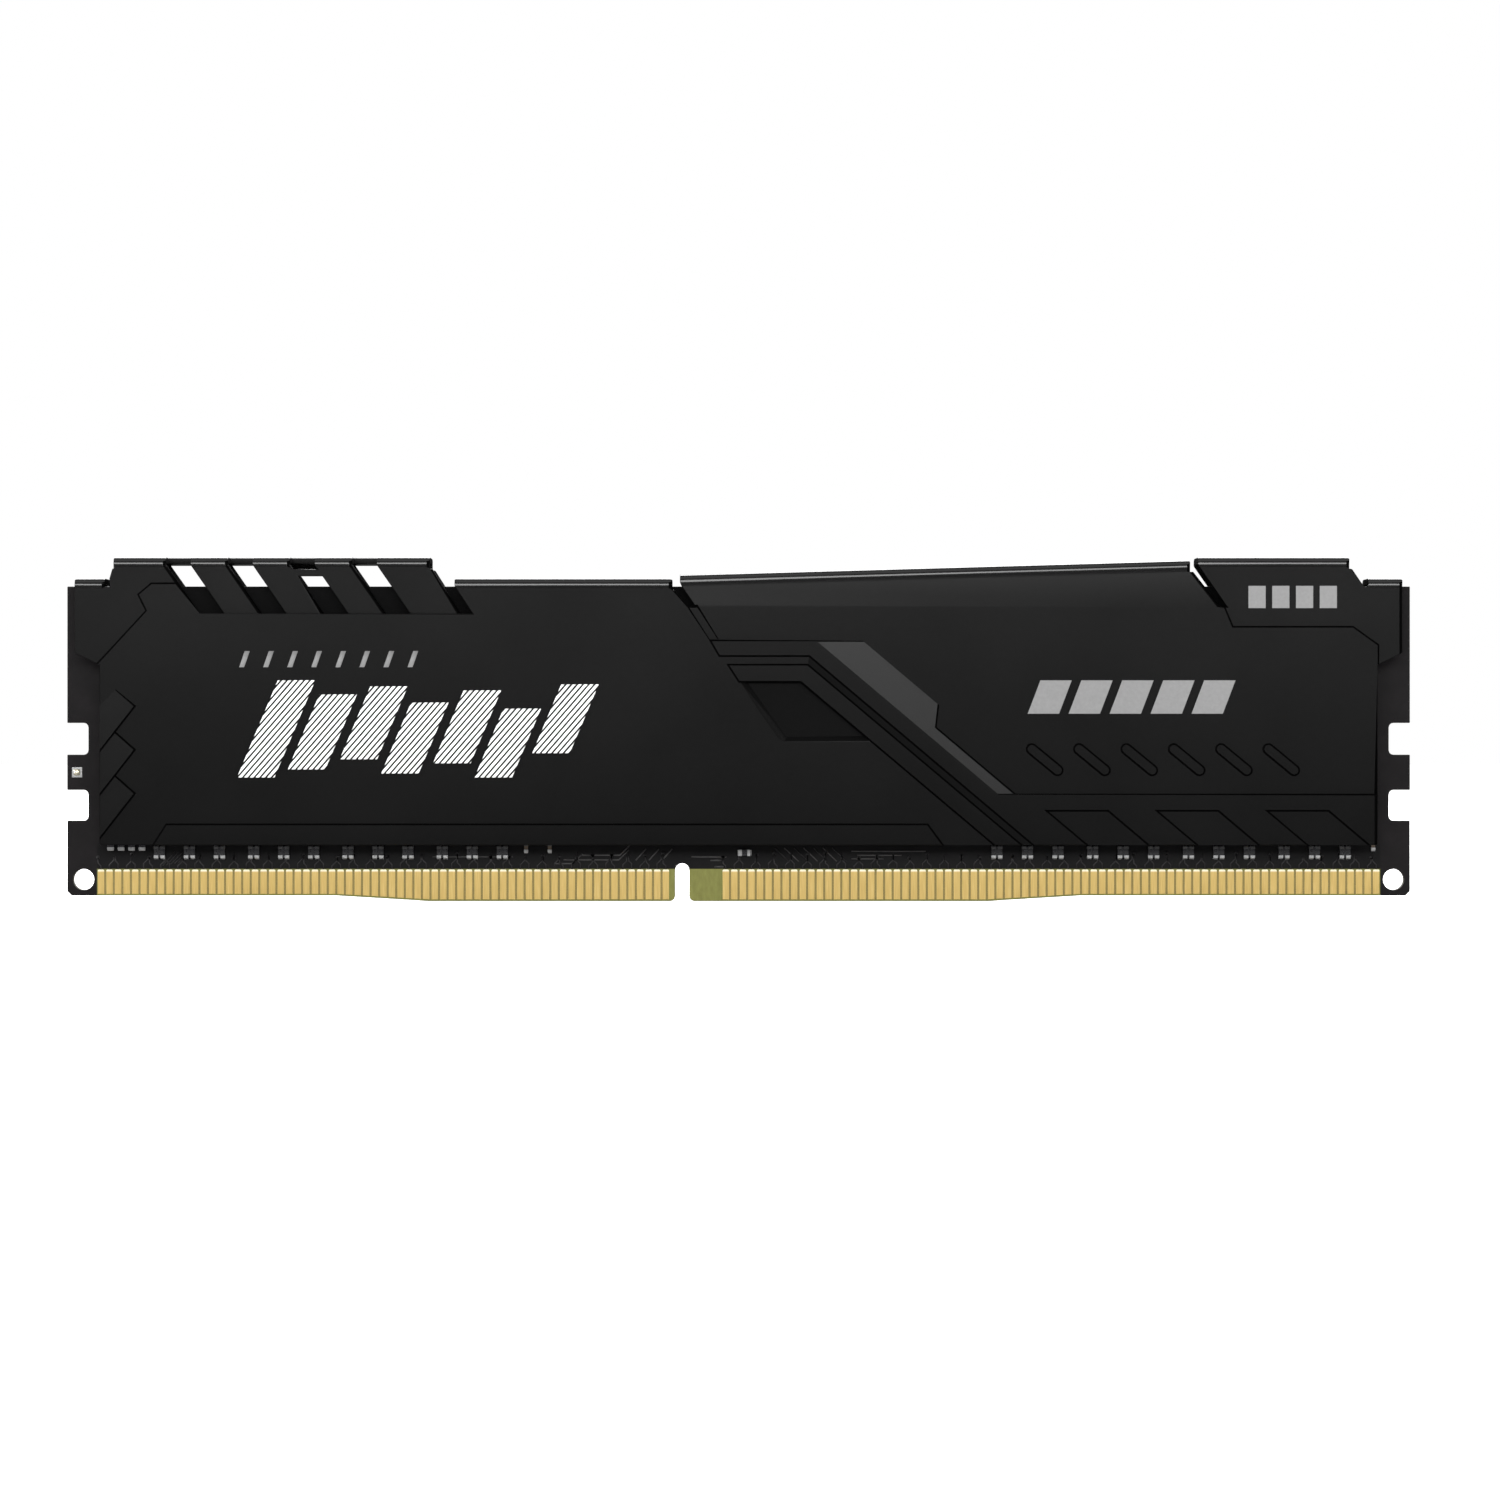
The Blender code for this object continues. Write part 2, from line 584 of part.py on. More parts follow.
def pill_outlines():
    return [pill(PILL_START[0] + i * PILL_PITCH, PILL_START[1]) for i in range(PILLS)]


def facet_outline():
    """The facet beside the first rib. Its left side lies inside the rib."""
    inside, top, foot_height = RIB_BEND - FACET_OVERLAP, RIB_TOP - 0.05, BASE_STRIP_TOP - 0.1
    upper, lower = FACET_BEND
    return [(inside, top), (FACET_TOP_RIGHT, top), leaning(FACET_TOP_RIGHT, top, upper[1], RIB_LEAN), lower,
            leaning(*lower, foot_height, RIB_LEAN), leaning(inside, top, foot_height, RIB_LEAN)]


def frame_regions():
    """The plate's lower-lying corners: round the fins on the left, and the top right corner."""
    slot_left = leaning(FIN_SLOT_LEFT, FIN_SLOT_FLOOR, LEFT_FRAME_EDGE[-1][1], SLOT_LEAN)
    left = [(-BESIDE, LEFT_FRAME_LOW), *LEFT_FRAME_EDGE, slot_left, (FIN_SLOT_LEFT + 0.5, FIN_SLOT_FLOOR),
            *FIN_FRAME_END, (FIN_FRAME_END[1][0], ABOVE), (-BESIDE, ABOVE)]
    first, last = CORNER_FRAME_EDGE[0][0], CORNER_FRAME_EDGE[-1][0]
    right = [(first, ABOVE), *CORNER_FRAME_EDGE, (last, CORNER_FRAME_LOW), (BESIDE, CORNER_FRAME_LOW),
             (BESIDE, ABOVE)]
    return [left, right]


def rib_channel():
    """A shallow channel that carries the middle gap on down to the first rib."""
    top, foot = GAP_FLOOR + 0.2, RIB_TOP + 0.1
    return [(CHANNEL_TOP[0], top), (CHANNEL_TOP[1], top), (CHANNEL_FOOT[1], foot), (CHANNEL_FOOT[0], foot)]


def pocket_mesh(side):
    """Cutter of the deep pocket under the second rib's bend. Its left and lower sides ramp to the floor."""
    left = SECOND_RIB_LEFT + SECOND_RIB_LEFT_SLANT + POCKET_INSET
    outline = [(left, SECOND_RIB_LOW), (SECOND_RIB_LOW_BEND, SECOND_RIB_LOW),
               leaning(SECOND_RIB_LOW_BEND, SECOND_RIB_LOW, POCKET_FOOT, RIB_LEAN), *POCKET_CORNER]
    across, up = POCKET_RAMP
    ramps = [(across, 0), (0, 0), (-up * RIB_LEAN, up), (across / 2, up), (across, up / 2)]
    level, floor = OUTER_FACE - PANEL_DEPTH, OUTER_FACE - POCKET_DEPTH
    mesh = upright_mesh("pocket", [outline], side * floor, side * (2 * level - floor))
    for vertex in mesh.vertices:
        gaps = [math.dist(corner, (vertex.co.x / MM, vertex.co.z / MM)) for corner in outline]
        ramp = ramps[gaps.index(min(gaps))]
        inward = 1 if abs(vertex.co.y) < level * MM else -1
        vertex.co.x = round(vertex.co.x + inward * ramp[0] * MM, GRID_DECIMALS)
        vertex.co.z = round(vertex.co.z + inward * ramp[1] * MM, GRID_DECIMALS)
    return mesh


def shoulder_bevel(side):
    """Cutter with a tilted floor, which draws the shoulder back above its crease."""
    middle_gap, corner_gap = (MIDDLE_RIGHT + SHOULDER_LEFT) / 2, (SHOULDER_RIGHT + CORNER_LEFT) / 2
    outline = [(CREASE_SPAN[0], BEVEL_CREASE), (CREASE_SPAN[1], BEVEL_CREASE),
               (corner_gap, SHOULDER_TOP_RIGHT - BEND_RADIUS), (corner_gap, ABOVE), (middle_gap, ABOVE),
               (middle_gap, LOW_TOP - BEND_RADIUS)]
    level = OUTER_FACE - PANEL_DEPTH
    mesh = upright_mesh("bevel", [outline], side * level, side * PROUD_FACE)
    for vertex in mesh.vertices:
        if abs(vertex.co.y) < OUTER_FACE * MM:
            set_back = math.tan(BEVEL_TILT) * (vertex.co.z - BEVEL_CREASE * MM)
            vertex.co.y = round(vertex.co.y - side * set_back, GRID_DECIMALS)
    return mesh


def raised_details(side):
    """(label, mesh) of the details that are added to a plate: its facet, its scales and its pills."""
    core = INNER_FACE + PLATE_THICKNESS / 2
    high = (RIB_BEND, RIB_TOP)
    across = (FACET_TOP_RIGHT - RIB_BEND) / (1 + RIB_LEAN ** 2)
    low = (high[0] + across, high[1] + across * RIB_LEAN)
    depths = (FACET_HIGH_DEPTH, FACET_LOW_DEPTH)
    yield "facet", sloped_mesh("facet", facet_outline(), side, core, high, low, depths)
    for number in range(TEETH):
        drop = number * TOOTH_PITCH
        high = (TOOTH_TIP[0], TOOTH_TIP[1] - drop)
        low = (TOOTH_ROOT[0], TOOTH_ROOT[1] - drop)
        yield f"tooth_{number + 1}", sloped_mesh("tooth", tooth_outline(number), side, core, high, low,
                                                 (TOOTH_HIGH_DEPTH, TOOTH_LOW_DEPTH))
    yield "pills", upright_mesh("pills", pill_outlines(), side * core, side * OUTER_FACE)


def heat_spreader(name, side, material, parts, helpers):
    """One stamped plate, bent inward along its top. side is -1 at the front and 1 at the back."""
    outer, proud = side * OUTER_FACE, side * PROUD_FACE
    panels = [rectangle(*PANEL_SHEET), *raised_outlines()]
    reliefs = (("panels", panels, PANEL_DEPTH), ("frame", frame_regions(), FRAME_DEPTH),
               ("channel", [rib_channel()], FRAME_DEPTH))
    plate = add_part(name, upright_mesh(name, [plate_outline()], side * INNER_FACE, outer), material, parts)
    steps = [(label, upright_mesh(label, outlines, outer - side * depth, proud), "DIFFERENCE")
             for label, outlines, depth in reliefs]
    steps.append(("pocket", pocket_mesh(side), "DIFFERENCE"))
    steps.append(("bevel", shoulder_bevel(side), "DIFFERENCE"))
    steps.append(("bends", top_bends(side), "UNION"))
    steps += [(label, mesh, "UNION") for label, mesh in raised_details(side)]
    openings = [*fin_slots(closed=side > 0), *section_gaps(), *step_notches()]
    steps.append(("openings", upright_mesh("openings", openings, 0, proud), "DIFFERENCE"))
    for label, mesh, operation in steps:
        combine(plate, add_helper(f"{name}_{label}", mesh, helpers), operation)


def block_mesh(name, size, chamfer=0.0):
    """A box of (width, height, thickness) about its own centre, with chamfered upright corners."""
    width, height, thickness = size
    half_w, half_h = width / 2, height / 2
    outline = rectangle((0, 0), width, height)
    if chamfer:
        outline = [(-half_w + chamfer, -half_h), (half_w - chamfer, -half_h), (half_w, -half_h + chamfer),
                   (half_w, half_h - chamfer), (half_w - chamfer, half_h), (-half_w + chamfer, half_h),
                   (-half_w, half_h - chamfer), (-half_w, -half_h + chamfer)]
    return upright_mesh(name, [outline], -thickness / 2, thickness / 2)


def place_on_board(name, mesh, position, thickness, material, collection):
    """Sets a part on the board's front face, standing off it by the seating gap."""
    part = add_part(name, mesh, material, collection)
    x, z = position
    part.location = (x * MM, -(BOARD_FACE + SEAT_GAP + thickness / 2) * MM, z * MM)


def memory_chips(material, collection):
    mesh = block_mesh("memory_chip", CHIP_SIZE, CHIP_CHAMFER)
    offsets = [CHIP_FIRST + i * CHIP_PITCH for i in range(CHIPS_PER_SIDE)]
    places = [-x for x in reversed(offsets)] + offsets
    for number, x in enumerate(places, 1):
        place_on_board(f"memory_chip_{number}", mesh, (x, CHIP_CENTRE_HEIGHT), CHIP_SIZE[2], material,
                       collection)


def spd_chip(material, collection):
    mesh = block_mesh("spd_chip", SPD_SIZE)
    place_on_board("spd_chip", mesh, SPD_CENTRE, SPD_SIZE[2], material, collection)


def thermal_pads(material, collection):
    """A strip over each row of chips, and a thick strip behind the bare back of the board."""
    chip_face = BOARD_FACE + SEAT_GAP + CHIP_SIZE[2]
    near, far = chip_face + PAD_GAP, INNER_FACE - PAD_GAP
    middle = CHIP_FIRST + CHIP_PITCH * (CHIPS_PER_SIDE - 1) / 2
    strips = (("front_left_thermal_pad", -middle, FRONT_PAD_LENGTH, -near, -far),
              ("front_right_thermal_pad", middle, FRONT_PAD_LENGTH, -near, -far),
              ("back_thermal_pad", 0, BACK_PAD_LENGTH, BOARD_FACE + PAD_GAP, far))
    for name, x, length, start, end in strips:
        mesh = upright_mesh(name, [rectangle((x, CHIP_CENTRE_HEIGHT), length, PAD_HEIGHT)], start, end)
        add_part(name, mesh, material, collection)


def decoupling_capacitors(material, collection):
    mesh = block_mesh("decoupling_capacitor", CAPACITOR_SIZE)
    middles = [CHIP_FIRST + CHIP_PITCH * (i + 0.5) for i in range(CHIPS_PER_SIDE - 1)]
    for number, x in enumerate([-x for x in reversed(middles)] + middles, 1):
        place_on_board(f"decoupling_capacitor_{number}", mesh, (x, CAPACITOR_HEIGHT), CAPACITOR_SIZE[2],
                       material, collection)


def resistor_array_mesh():
    """A two-element chip resistor: a block with a notch between its terminals at both ends."""
    width, height, thickness = ARRAY_SIZE
    notch, reach = ARRAY_NOTCH[0] / 2, ARRAY_NOTCH[1]
    half_w, half_h = width / 2, height / 2
    lower = [(-half_w, -half_h), (-notch, -half_h), (-notch, reach - half_h), (notch, reach - half_h),
             (notch, -half_h), (half_w, -half_h)]
    upper = [(-x, -z) for x, z in lower]
    return upright_mesh("resistor_array", [lower + upper], -thickness / 2, thickness / 2)


def resistor_arrays(material, collection):
    """Twelve arrays on each half of the board, in groups of three above the contacts."""
    mesh = resistor_array_mesh()
    halves = (("left", LEFT_ARRAY_START, LEFT_ARRAY_STEP, LEFT_GROUP_PITCH),
              ("right", RIGHT_ARRAY_START, RIGHT_ARRAY_STEP, RIGHT_GROUP_PITCH))
    for end, start, step, group_pitch in halves:
        for i in range(ARRAYS_PER_HALF):
            group, place = divmod(i, ARRAY_GROUP_SIZE)
            x = start + group * group_pitch + place * step
            place_on_board(f"{end}_resistor_array_{i + 1}", mesh, (x, ARRAY_HEIGHT), ARRAY_SIZE[2],
                           material, collection)


def end_resistors(material, collection):
    mesh = block_mesh("end_resistor", CHIP_RESISTOR_SIZE)
    for i in range(END_RESISTORS):
        x = END_RESISTOR_START + i * END_RESISTOR_PITCH
        place_on_board(f"end_resistor_{i + 1}", mesh, (x, END_RESISTOR_HEIGHT), CHIP_RESISTOR_SIZE[2],
                       material, collection)


def single_parts(resistor_material, capacitor_material, collection):
    mesh = block_mesh("filter_capacitor", SINGLE_SIZE)
    for name, x, z in SINGLES:
        place_on_board(name, mesh, (x, z), SINGLE_SIZE[2], capacitor_material, collection)
    mesh = block_mesh("sense_resistor", SENSE_SIZE)
    place_on_board("sense_resistor", mesh, SENSE_RESISTOR, SENSE_SIZE[2], resistor_material, collection)


def ground_pad(material, collection):
    near = BOARD_FACE + SURFACE_GAP
    outline = rectangle(GROUND_PAD, GROUND_PAD_SIZE, GROUND_PAD_SIZE)
    mesh = upright_mesh("ground_pad", [outline], -near, -(near + CONTACT_THICKNESS))
    add_part("ground_pad", mesh, material, collection)


def build():
    clear_scene()
    parts = new_collection(ASSEMBLY_NAME)
    helpers = new_collection("cutters")
    laminate = new_material("board_laminate", (0.018, 0.013, 0.016), 0.42, 0.0)
    gold = new_material("contact_gold", (0.69, 0.46, 0.14), 0.3, 1.0)
    anodised = new_material("black_spreader", (0.021, 0.021, 0.021), 0.45, 0.4)
    mould = new_material("chip_mould", (0.02, 0.02, 0.022), 0.6, 0.0)
    pad = new_material("thermal_pad", (0.32, 0.36, 0.4), 0.9, 0.0)
    resistor = new_material("resistor_body", (0.04, 0.04, 0.045), 0.4, 0.0)
    capacitor = new_material("capacitor_body", (0.28, 0.17, 0.09), 0.5, 0.0)
    circuit_board(laminate, parts)
    edge_contacts(gold, parts)
    ground_pad(gold, parts)
    heat_spreader("front_heat_spreader", -1, anodised, parts, helpers)
    heat_spreader("back_heat_spreader", 1, anodised, parts, helpers)
    memory_chips(mould, parts)
    spd_chip(mould, parts)
    thermal_pads(pad, parts)
    decoupling_capacitors(capacitor, parts)
    resistor_arrays(resistor, parts)
    end_resistors(resistor, parts)
    single_parts(resistor, capacitor, parts)


build()
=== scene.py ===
"""Looks of a desktop memory module: finishes, solder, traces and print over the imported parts.

X runs along the module, Z is up and the front faces -Y. Lengths are in millimetres unless a comment says
otherwise, and MM turns them into Blender's metres.
"""

import math
import random

import bmesh
import bpy
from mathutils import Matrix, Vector


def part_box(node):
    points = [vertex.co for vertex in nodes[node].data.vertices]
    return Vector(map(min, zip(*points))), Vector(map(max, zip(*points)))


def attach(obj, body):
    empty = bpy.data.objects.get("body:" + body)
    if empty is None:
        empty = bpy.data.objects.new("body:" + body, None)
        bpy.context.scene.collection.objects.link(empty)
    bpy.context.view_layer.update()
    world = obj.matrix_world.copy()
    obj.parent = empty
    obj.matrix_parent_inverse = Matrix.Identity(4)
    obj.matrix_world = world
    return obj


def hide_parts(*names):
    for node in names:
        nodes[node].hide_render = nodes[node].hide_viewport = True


MM = 0.001

# Camera: a little right of the module's middle. The lens is its focal length
CAMERA_X = 1.133
CAMERA_Z = 15.01
CAMERA_DISTANCE = 650.0
CAMERA_LENS = 156.9

# Edge softening, as bevel widths
PLATE_SOFTENING = 0.1
RELIEF_SOFTENING = 0.09
CUT_SOFTENING = 0.32
BOARD_SOFTENING = 0.07
CONTACT_SOFTENING = 0.03
CHIP_SOFTENING = 0.06
PAD_SOFTENING = 0.15
PART_SOFTENING = 0.035

# Edges are shaded smooth up to these angles, on an outward fold and on a hollow one
SHARP_ANGLE = math.radians(33)
CREASE_ANGLE = math.radians(3)

# Faces narrower than NARROW_WALL aren't softened, nor low walls narrower than SLIVER_WALL. A low wall is
# taller than RELIEF_WALL, and a wall that goes right through a plate reaches deeper than CUT_DEPTH.
NARROW_WALL = 0.15
SLIVER_WALL = 0.05
RELIEF_WALL = 0.1
CUT_DEPTH = 0.9

# A unit normal looks along an axis above the first of these, and across it below the second
ALONG = 0.9
ACROSS = 0.1

# Levels of a plate below its outer face, and the places of some of its features. A tilt is the outward part
# of a face's normal.
PANEL_DEPTH = 0.2
FRAME_DEPTH = 0.4
POCKET_DEPTH = (0.3, 0.65)
POCKET_X = (-1.0, 13.5)
POCKET_Z = (15.0, 21.8)
RIB_SLOPE = Vector((1, 1.185)).normalized()
FACET_TILT = (0.97, 0.9995)
FACET_MATCH = 0.95
FACET_RIGHT = 30.0
GROOVE_CORNERS = ((7.0, 24.3), (6.85, 23.45))
BEND_LEVEL = 31.0
BEND_BREADTH = 0.6
BEND_TILT = (0.15, 0.9999)
SLIT_FOOT = 25.95
FIN_FOOT = 28.5
RIGHTWARD = 0.5

# Heights between which the coating's tone and shine fall: painted shade, darker towards the plates' foot
PAINTED_SHADE_SPAN = (6.0, 30.0)

# Contacts
CONTACT_PITCH = 0.85
CONTACT_WIDTH = 0.64
CONTACT_TOP = 3.14
CONTACT_PROUD = 0.06
CONTACT_GAP_PROUD = 0.015
CONTACT_CORNER = 0.12
CONTACT_EDGE_MARGIN = 0.16
OUTER_CONTACT = 63.325
ROWS = {"left": (-OUTER_CONTACT, 67), "right": (OUTER_CONTACT - 76 * CONTACT_PITCH, 77)}
END_RISE = 0.55
LEFT_RAMP = (-39.9, -30.7)
RIGHT_RAMP = (24.7, 33.9)
BARE_TOP = 3.2
BARE_HALF_LENGTH = 63.72
TRACE_PROUD = 0.02

# Solder mask: how softly the bare part ends, the strip above the contacts, darker as painted shade under the
# plates' edge, and the top, darker and duller as painted shade behind the plates
BARE_FADE = 0.03
PAINTED_SHADE_STRIP_TOP = (5.9, 5.5)
PAINTED_SHADE_TOP_FOOT = (24, 26)
PAINTED_SHADE_TOP_SIDE = (65.4, 65.0)

# Resistors and capacitors
ELEMENT_GAP = 0.22
BODY_INSET = 0.03
FOOT_REACH = 0.14
FOOT_BELOW_TOP = 0.16
FOOT_THICKNESS = 0.06
SOLDER_GAP = 0.05

# Print: its thickness, and the stripes of the emblem
INK_SINK = 0.005
INK_PROUD = 0.012
HATCH_PITCH = 0.43
HATCH_SHARE = 0.6
HATCH_ANGLE = 49
EMBLEM_LEFT = -49.6
EMBLEM_FOOT = 12.3
EMBLEM_TOP = 21.9
EMBLEM_LEAN = 0.42
EMBLEM_BAR_WIDTH = 3.7
EMBLEM_BAR_PITCH = 4.7
EMBLEM_DROPS = (0.0, 1.4, 0.6, 2.2, 1.0, 2.8, 0.4)
EMBLEM_RISES = (0.0, 0.8, 1.8, 0.4, 1.4, 0.0, 2.4)

# Studio, in metres
FLOOR_HALF_SIZE = 6
LIGHT_TARGET = Vector((0, 0, 0.016))

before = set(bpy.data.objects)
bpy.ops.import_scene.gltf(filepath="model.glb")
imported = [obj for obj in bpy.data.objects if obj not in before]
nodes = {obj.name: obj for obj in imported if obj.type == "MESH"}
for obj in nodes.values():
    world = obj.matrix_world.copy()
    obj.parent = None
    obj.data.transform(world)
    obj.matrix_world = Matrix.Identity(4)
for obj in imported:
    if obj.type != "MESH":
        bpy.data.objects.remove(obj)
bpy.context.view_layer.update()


# ---------------------------------------------------------------- geometry helpers

def board_edge(x):
    """Height of the board's lower edge, which rises towards both ends."""
    if x < LEFT_RAMP[1]:
        return END_RISE * min(1, (LEFT_RAMP[1] - x) / (LEFT_RAMP[1] - LEFT_RAMP[0]))
    if x > RIGHT_RAMP[0]:
        return END_RISE * min(1, (x - RIGHT_RAMP[0]) / (RIGHT_RAMP[1] - RIGHT_RAMP[0]))
    return 0.0


def arc(centre, radius, start, end, steps):
    angles = [math.radians(start + (end - start) * i / steps) for i in range(steps + 1)]
    return [(centre[0] + radius * math.cos(a), centre[1] + radius * math.sin(a)) for a in angles]


def rectangle(x, z, width, height):
    return [(x - width / 2, z - height / 2), (x + width / 2, z - height / 2),
            (x + width / 2, z + height / 2), (x - width / 2, z + height / 2)]


def prism(shape, outline, base, top, material=0):
    """Adds a closed prism of one (x, z) outline between two Y values to a bmesh. Returns its faces."""
    area = sum(a[0] * b[1] - b[0] * a[1] for a, b in zip(outline, outline[1:] + outline[:1]))
    if area < 0:
        outline = outline[::-1]
    if top > base:
        outline = outline[::-1]
    low = [shape.verts.new((x * MM, base * MM, z * MM)) for x, z in outline]
    high = [shape.verts.new((x * MM, top * MM, z * MM)) for x, z in outline]
    faces = [shape.faces.new(high), shape.faces.new(low[::-1])]
    count = len(outline)
    for i in range(count):
        j = (i + 1) % count
        faces.append(shape.faces.new((low[i], low[j], high[j], high[i])))
    for face in faces:
        face.material_index = material
    return faces


def finish_mesh(shape, name, materials):
    """Turns a bmesh into an object that rides on the module. Wide flat faces keep their own normals."""
    mesh = shaded_mesh(shape, name, materials)
    obj = add_object(name, mesh)
    flat = obj.modifiers.new("flat_faces", "WEIGHTED_NORMAL")
    flat.mode = "FACE_AREA"
    flat.weight = 100
    flat.keep_sharp = True
    return obj


def shaded_mesh(shape, name, materials):
    """The bmesh as a mesh, smooth except across sharp edges and hollow creases."""
    for face in shape.faces:
        face.smooth = True
    for edge in shape.edges:
        angle = edge.calc_face_angle_signed(0) if len(edge.link_faces) == 2 else SHARP_ANGLE
        edge.smooth = -CREASE_ANGLE < angle < SHARP_ANGLE
    mesh = bpy.data.meshes.new(name)
    shape.to_mesh(mesh)
    shape.free()
    for material in materials:
        mesh.materials.append(material)
    return mesh


def add_object(name, mesh, place=(0, 0, 0)):
    """An object of the mesh, put in place and then set to ride on the module."""
    obj = bpy.data.objects.new(name, mesh)
    bpy.context.scene.collection.objects.link(obj)
    obj.location = place
    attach(obj, "root")
    return obj


def clean_copy(node):
    """The node's mesh as a bmesh of whole flat faces."""
    shape = bmesh.new()
    shape.from_mesh(nodes[node].data)
    bmesh.ops.remove_doubles(shape, verts=shape.verts, dist=2e-6)
    bmesh.ops.dissolve_limit(shape, angle_limit=math.radians(0.4), verts=shape.verts, edges=shape.edges)
    bmesh.ops.recalc_face_normals(shape, faces=shape.faces)
    return shape


def breadth(face):
    """Roughly how wide the face is across its shorter way."""
    return 2 * face.calc_area() / max(face.calc_perimeter(), 1e-9)


def wall_height(face):
    """How far the face reaches along Y."""
    levels = [vertex.co.y for vertex in face.verts]
    return max(levels) - min(levels)


def stands_at(wall, level):
    """Whether the wall's middle is at a height, to within half a bevel."""
    return abs(wall.calc_center_median().z / MM - level) < RELIEF_SOFTENING / 2


def bevel_edges(shape, edges, width, segments=2, material=-1):
    """Bevels edges by a width. The new faces take a material, or their neighbours' where it is -1."""
    bmesh.ops.bevel(shape, geom=edges, offset=width * MM, offset_type="OFFSET", segments=segments,
                    profile=0.5, affect="EDGES", clamp_overlap=False, material=material)


def soften(shape, width):
    """Bevels the convex edges, leaving out those of walls too narrow to take it."""
    edges = [edge for edge in shape.edges
             if len(edge.link_faces) == 2 and edge.calc_face_angle_signed(0) > SHARP_ANGLE
             and min(breadth(face) for face in edge.link_faces) > NARROW_WALL * MM]
    bevel_edges(shape, edges, width)


def face_and_wall(shape, side):
    """Each sharp edge between a face that looks outwards and a wall of the plate: (edge, wall)."""
    for edge in shape.edges:
        if len(edge.link_faces) == 2 and abs(edge.calc_face_angle_signed(0)) > SHARP_ANGLE:
            face, wall = sorted(edge.link_faces, key=lambda face: -face.normal.y * side)
            if face.normal.y * side > ALONG and abs(wall.normal.y) < ACROSS:
                yield edge, wall


def goes_through(wall, outer):
    """Whether a wall runs from near the plate's outer face to its inner one."""
    return outer * MM - min(abs(vertex.co.y) for vertex in wall.verts) > CUT_DEPTH * MM


def part_fin_foot(shape, side, level):
    """Cuts the wall at the fins' foot along the fins' face, so that its strip in front of them is a low wall."""
    for wall in [face for face in shape.faces if face.normal.z > ALONG and stands_at(face, FIN_FOOT)]:
        on_level = [vertex for vertex in wall.verts if abs(vertex.co.y - side * level * MM) < 0.01 * MM]
        row = sorted(on_level, key=lambda vertex: vertex.co.x)
        for left, right in zip(row, row[1:]):
            joined = any(edge.other_vert(left) is right for edge in left.link_edges)
            shared = [face for face in left.link_faces if face in right.link_faces and face.normal.z > ALONG]
            if shared and not joined:
                bmesh.utils.face_split(shared[0], left, right)


def soften_relief(shape, side, outer, width, material):
    """Rounds the brink and the foot of the low walls between a plate's levels, in the tone of a shadow line.

    The foot of the slit by the shoulder stays sharp, as it all but touches the first rib, and so do the
    fins' feet.
    """
    edges = []
    for edge, wall in face_and_wall(shape, side):
        hollow = edge.calc_face_angle_signed(0) < 0
        sharp = stands_at(wall, SLIT_FOOT) or (stands_at(wall, FIN_FOOT) and hollow)
        low = wall_height(wall) > RELIEF_WALL * MM and not goes_through(wall, outer)
        if low and not sharp and breadth(wall) > SLIVER_WALL * MM:
            edges.append(edge)
    bevel_edges(shape, edges, width, 1, material)


def soften_cuts(shape, side, outer, width, material):
    """Rounds widely the brinks of the walls that face right and go through a plate, in a painted shadow tone."""
    edges = [edge for edge, wall in face_and_wall(shape, side)
             if wall.normal.x > RIGHTWARD and edge.calc_face_angle_signed(0) > 0
             and goes_through(wall, outer)]
    bevel_edges(shape, edges, width, 2, material)


# ---------------------------------------------------------------- material helpers

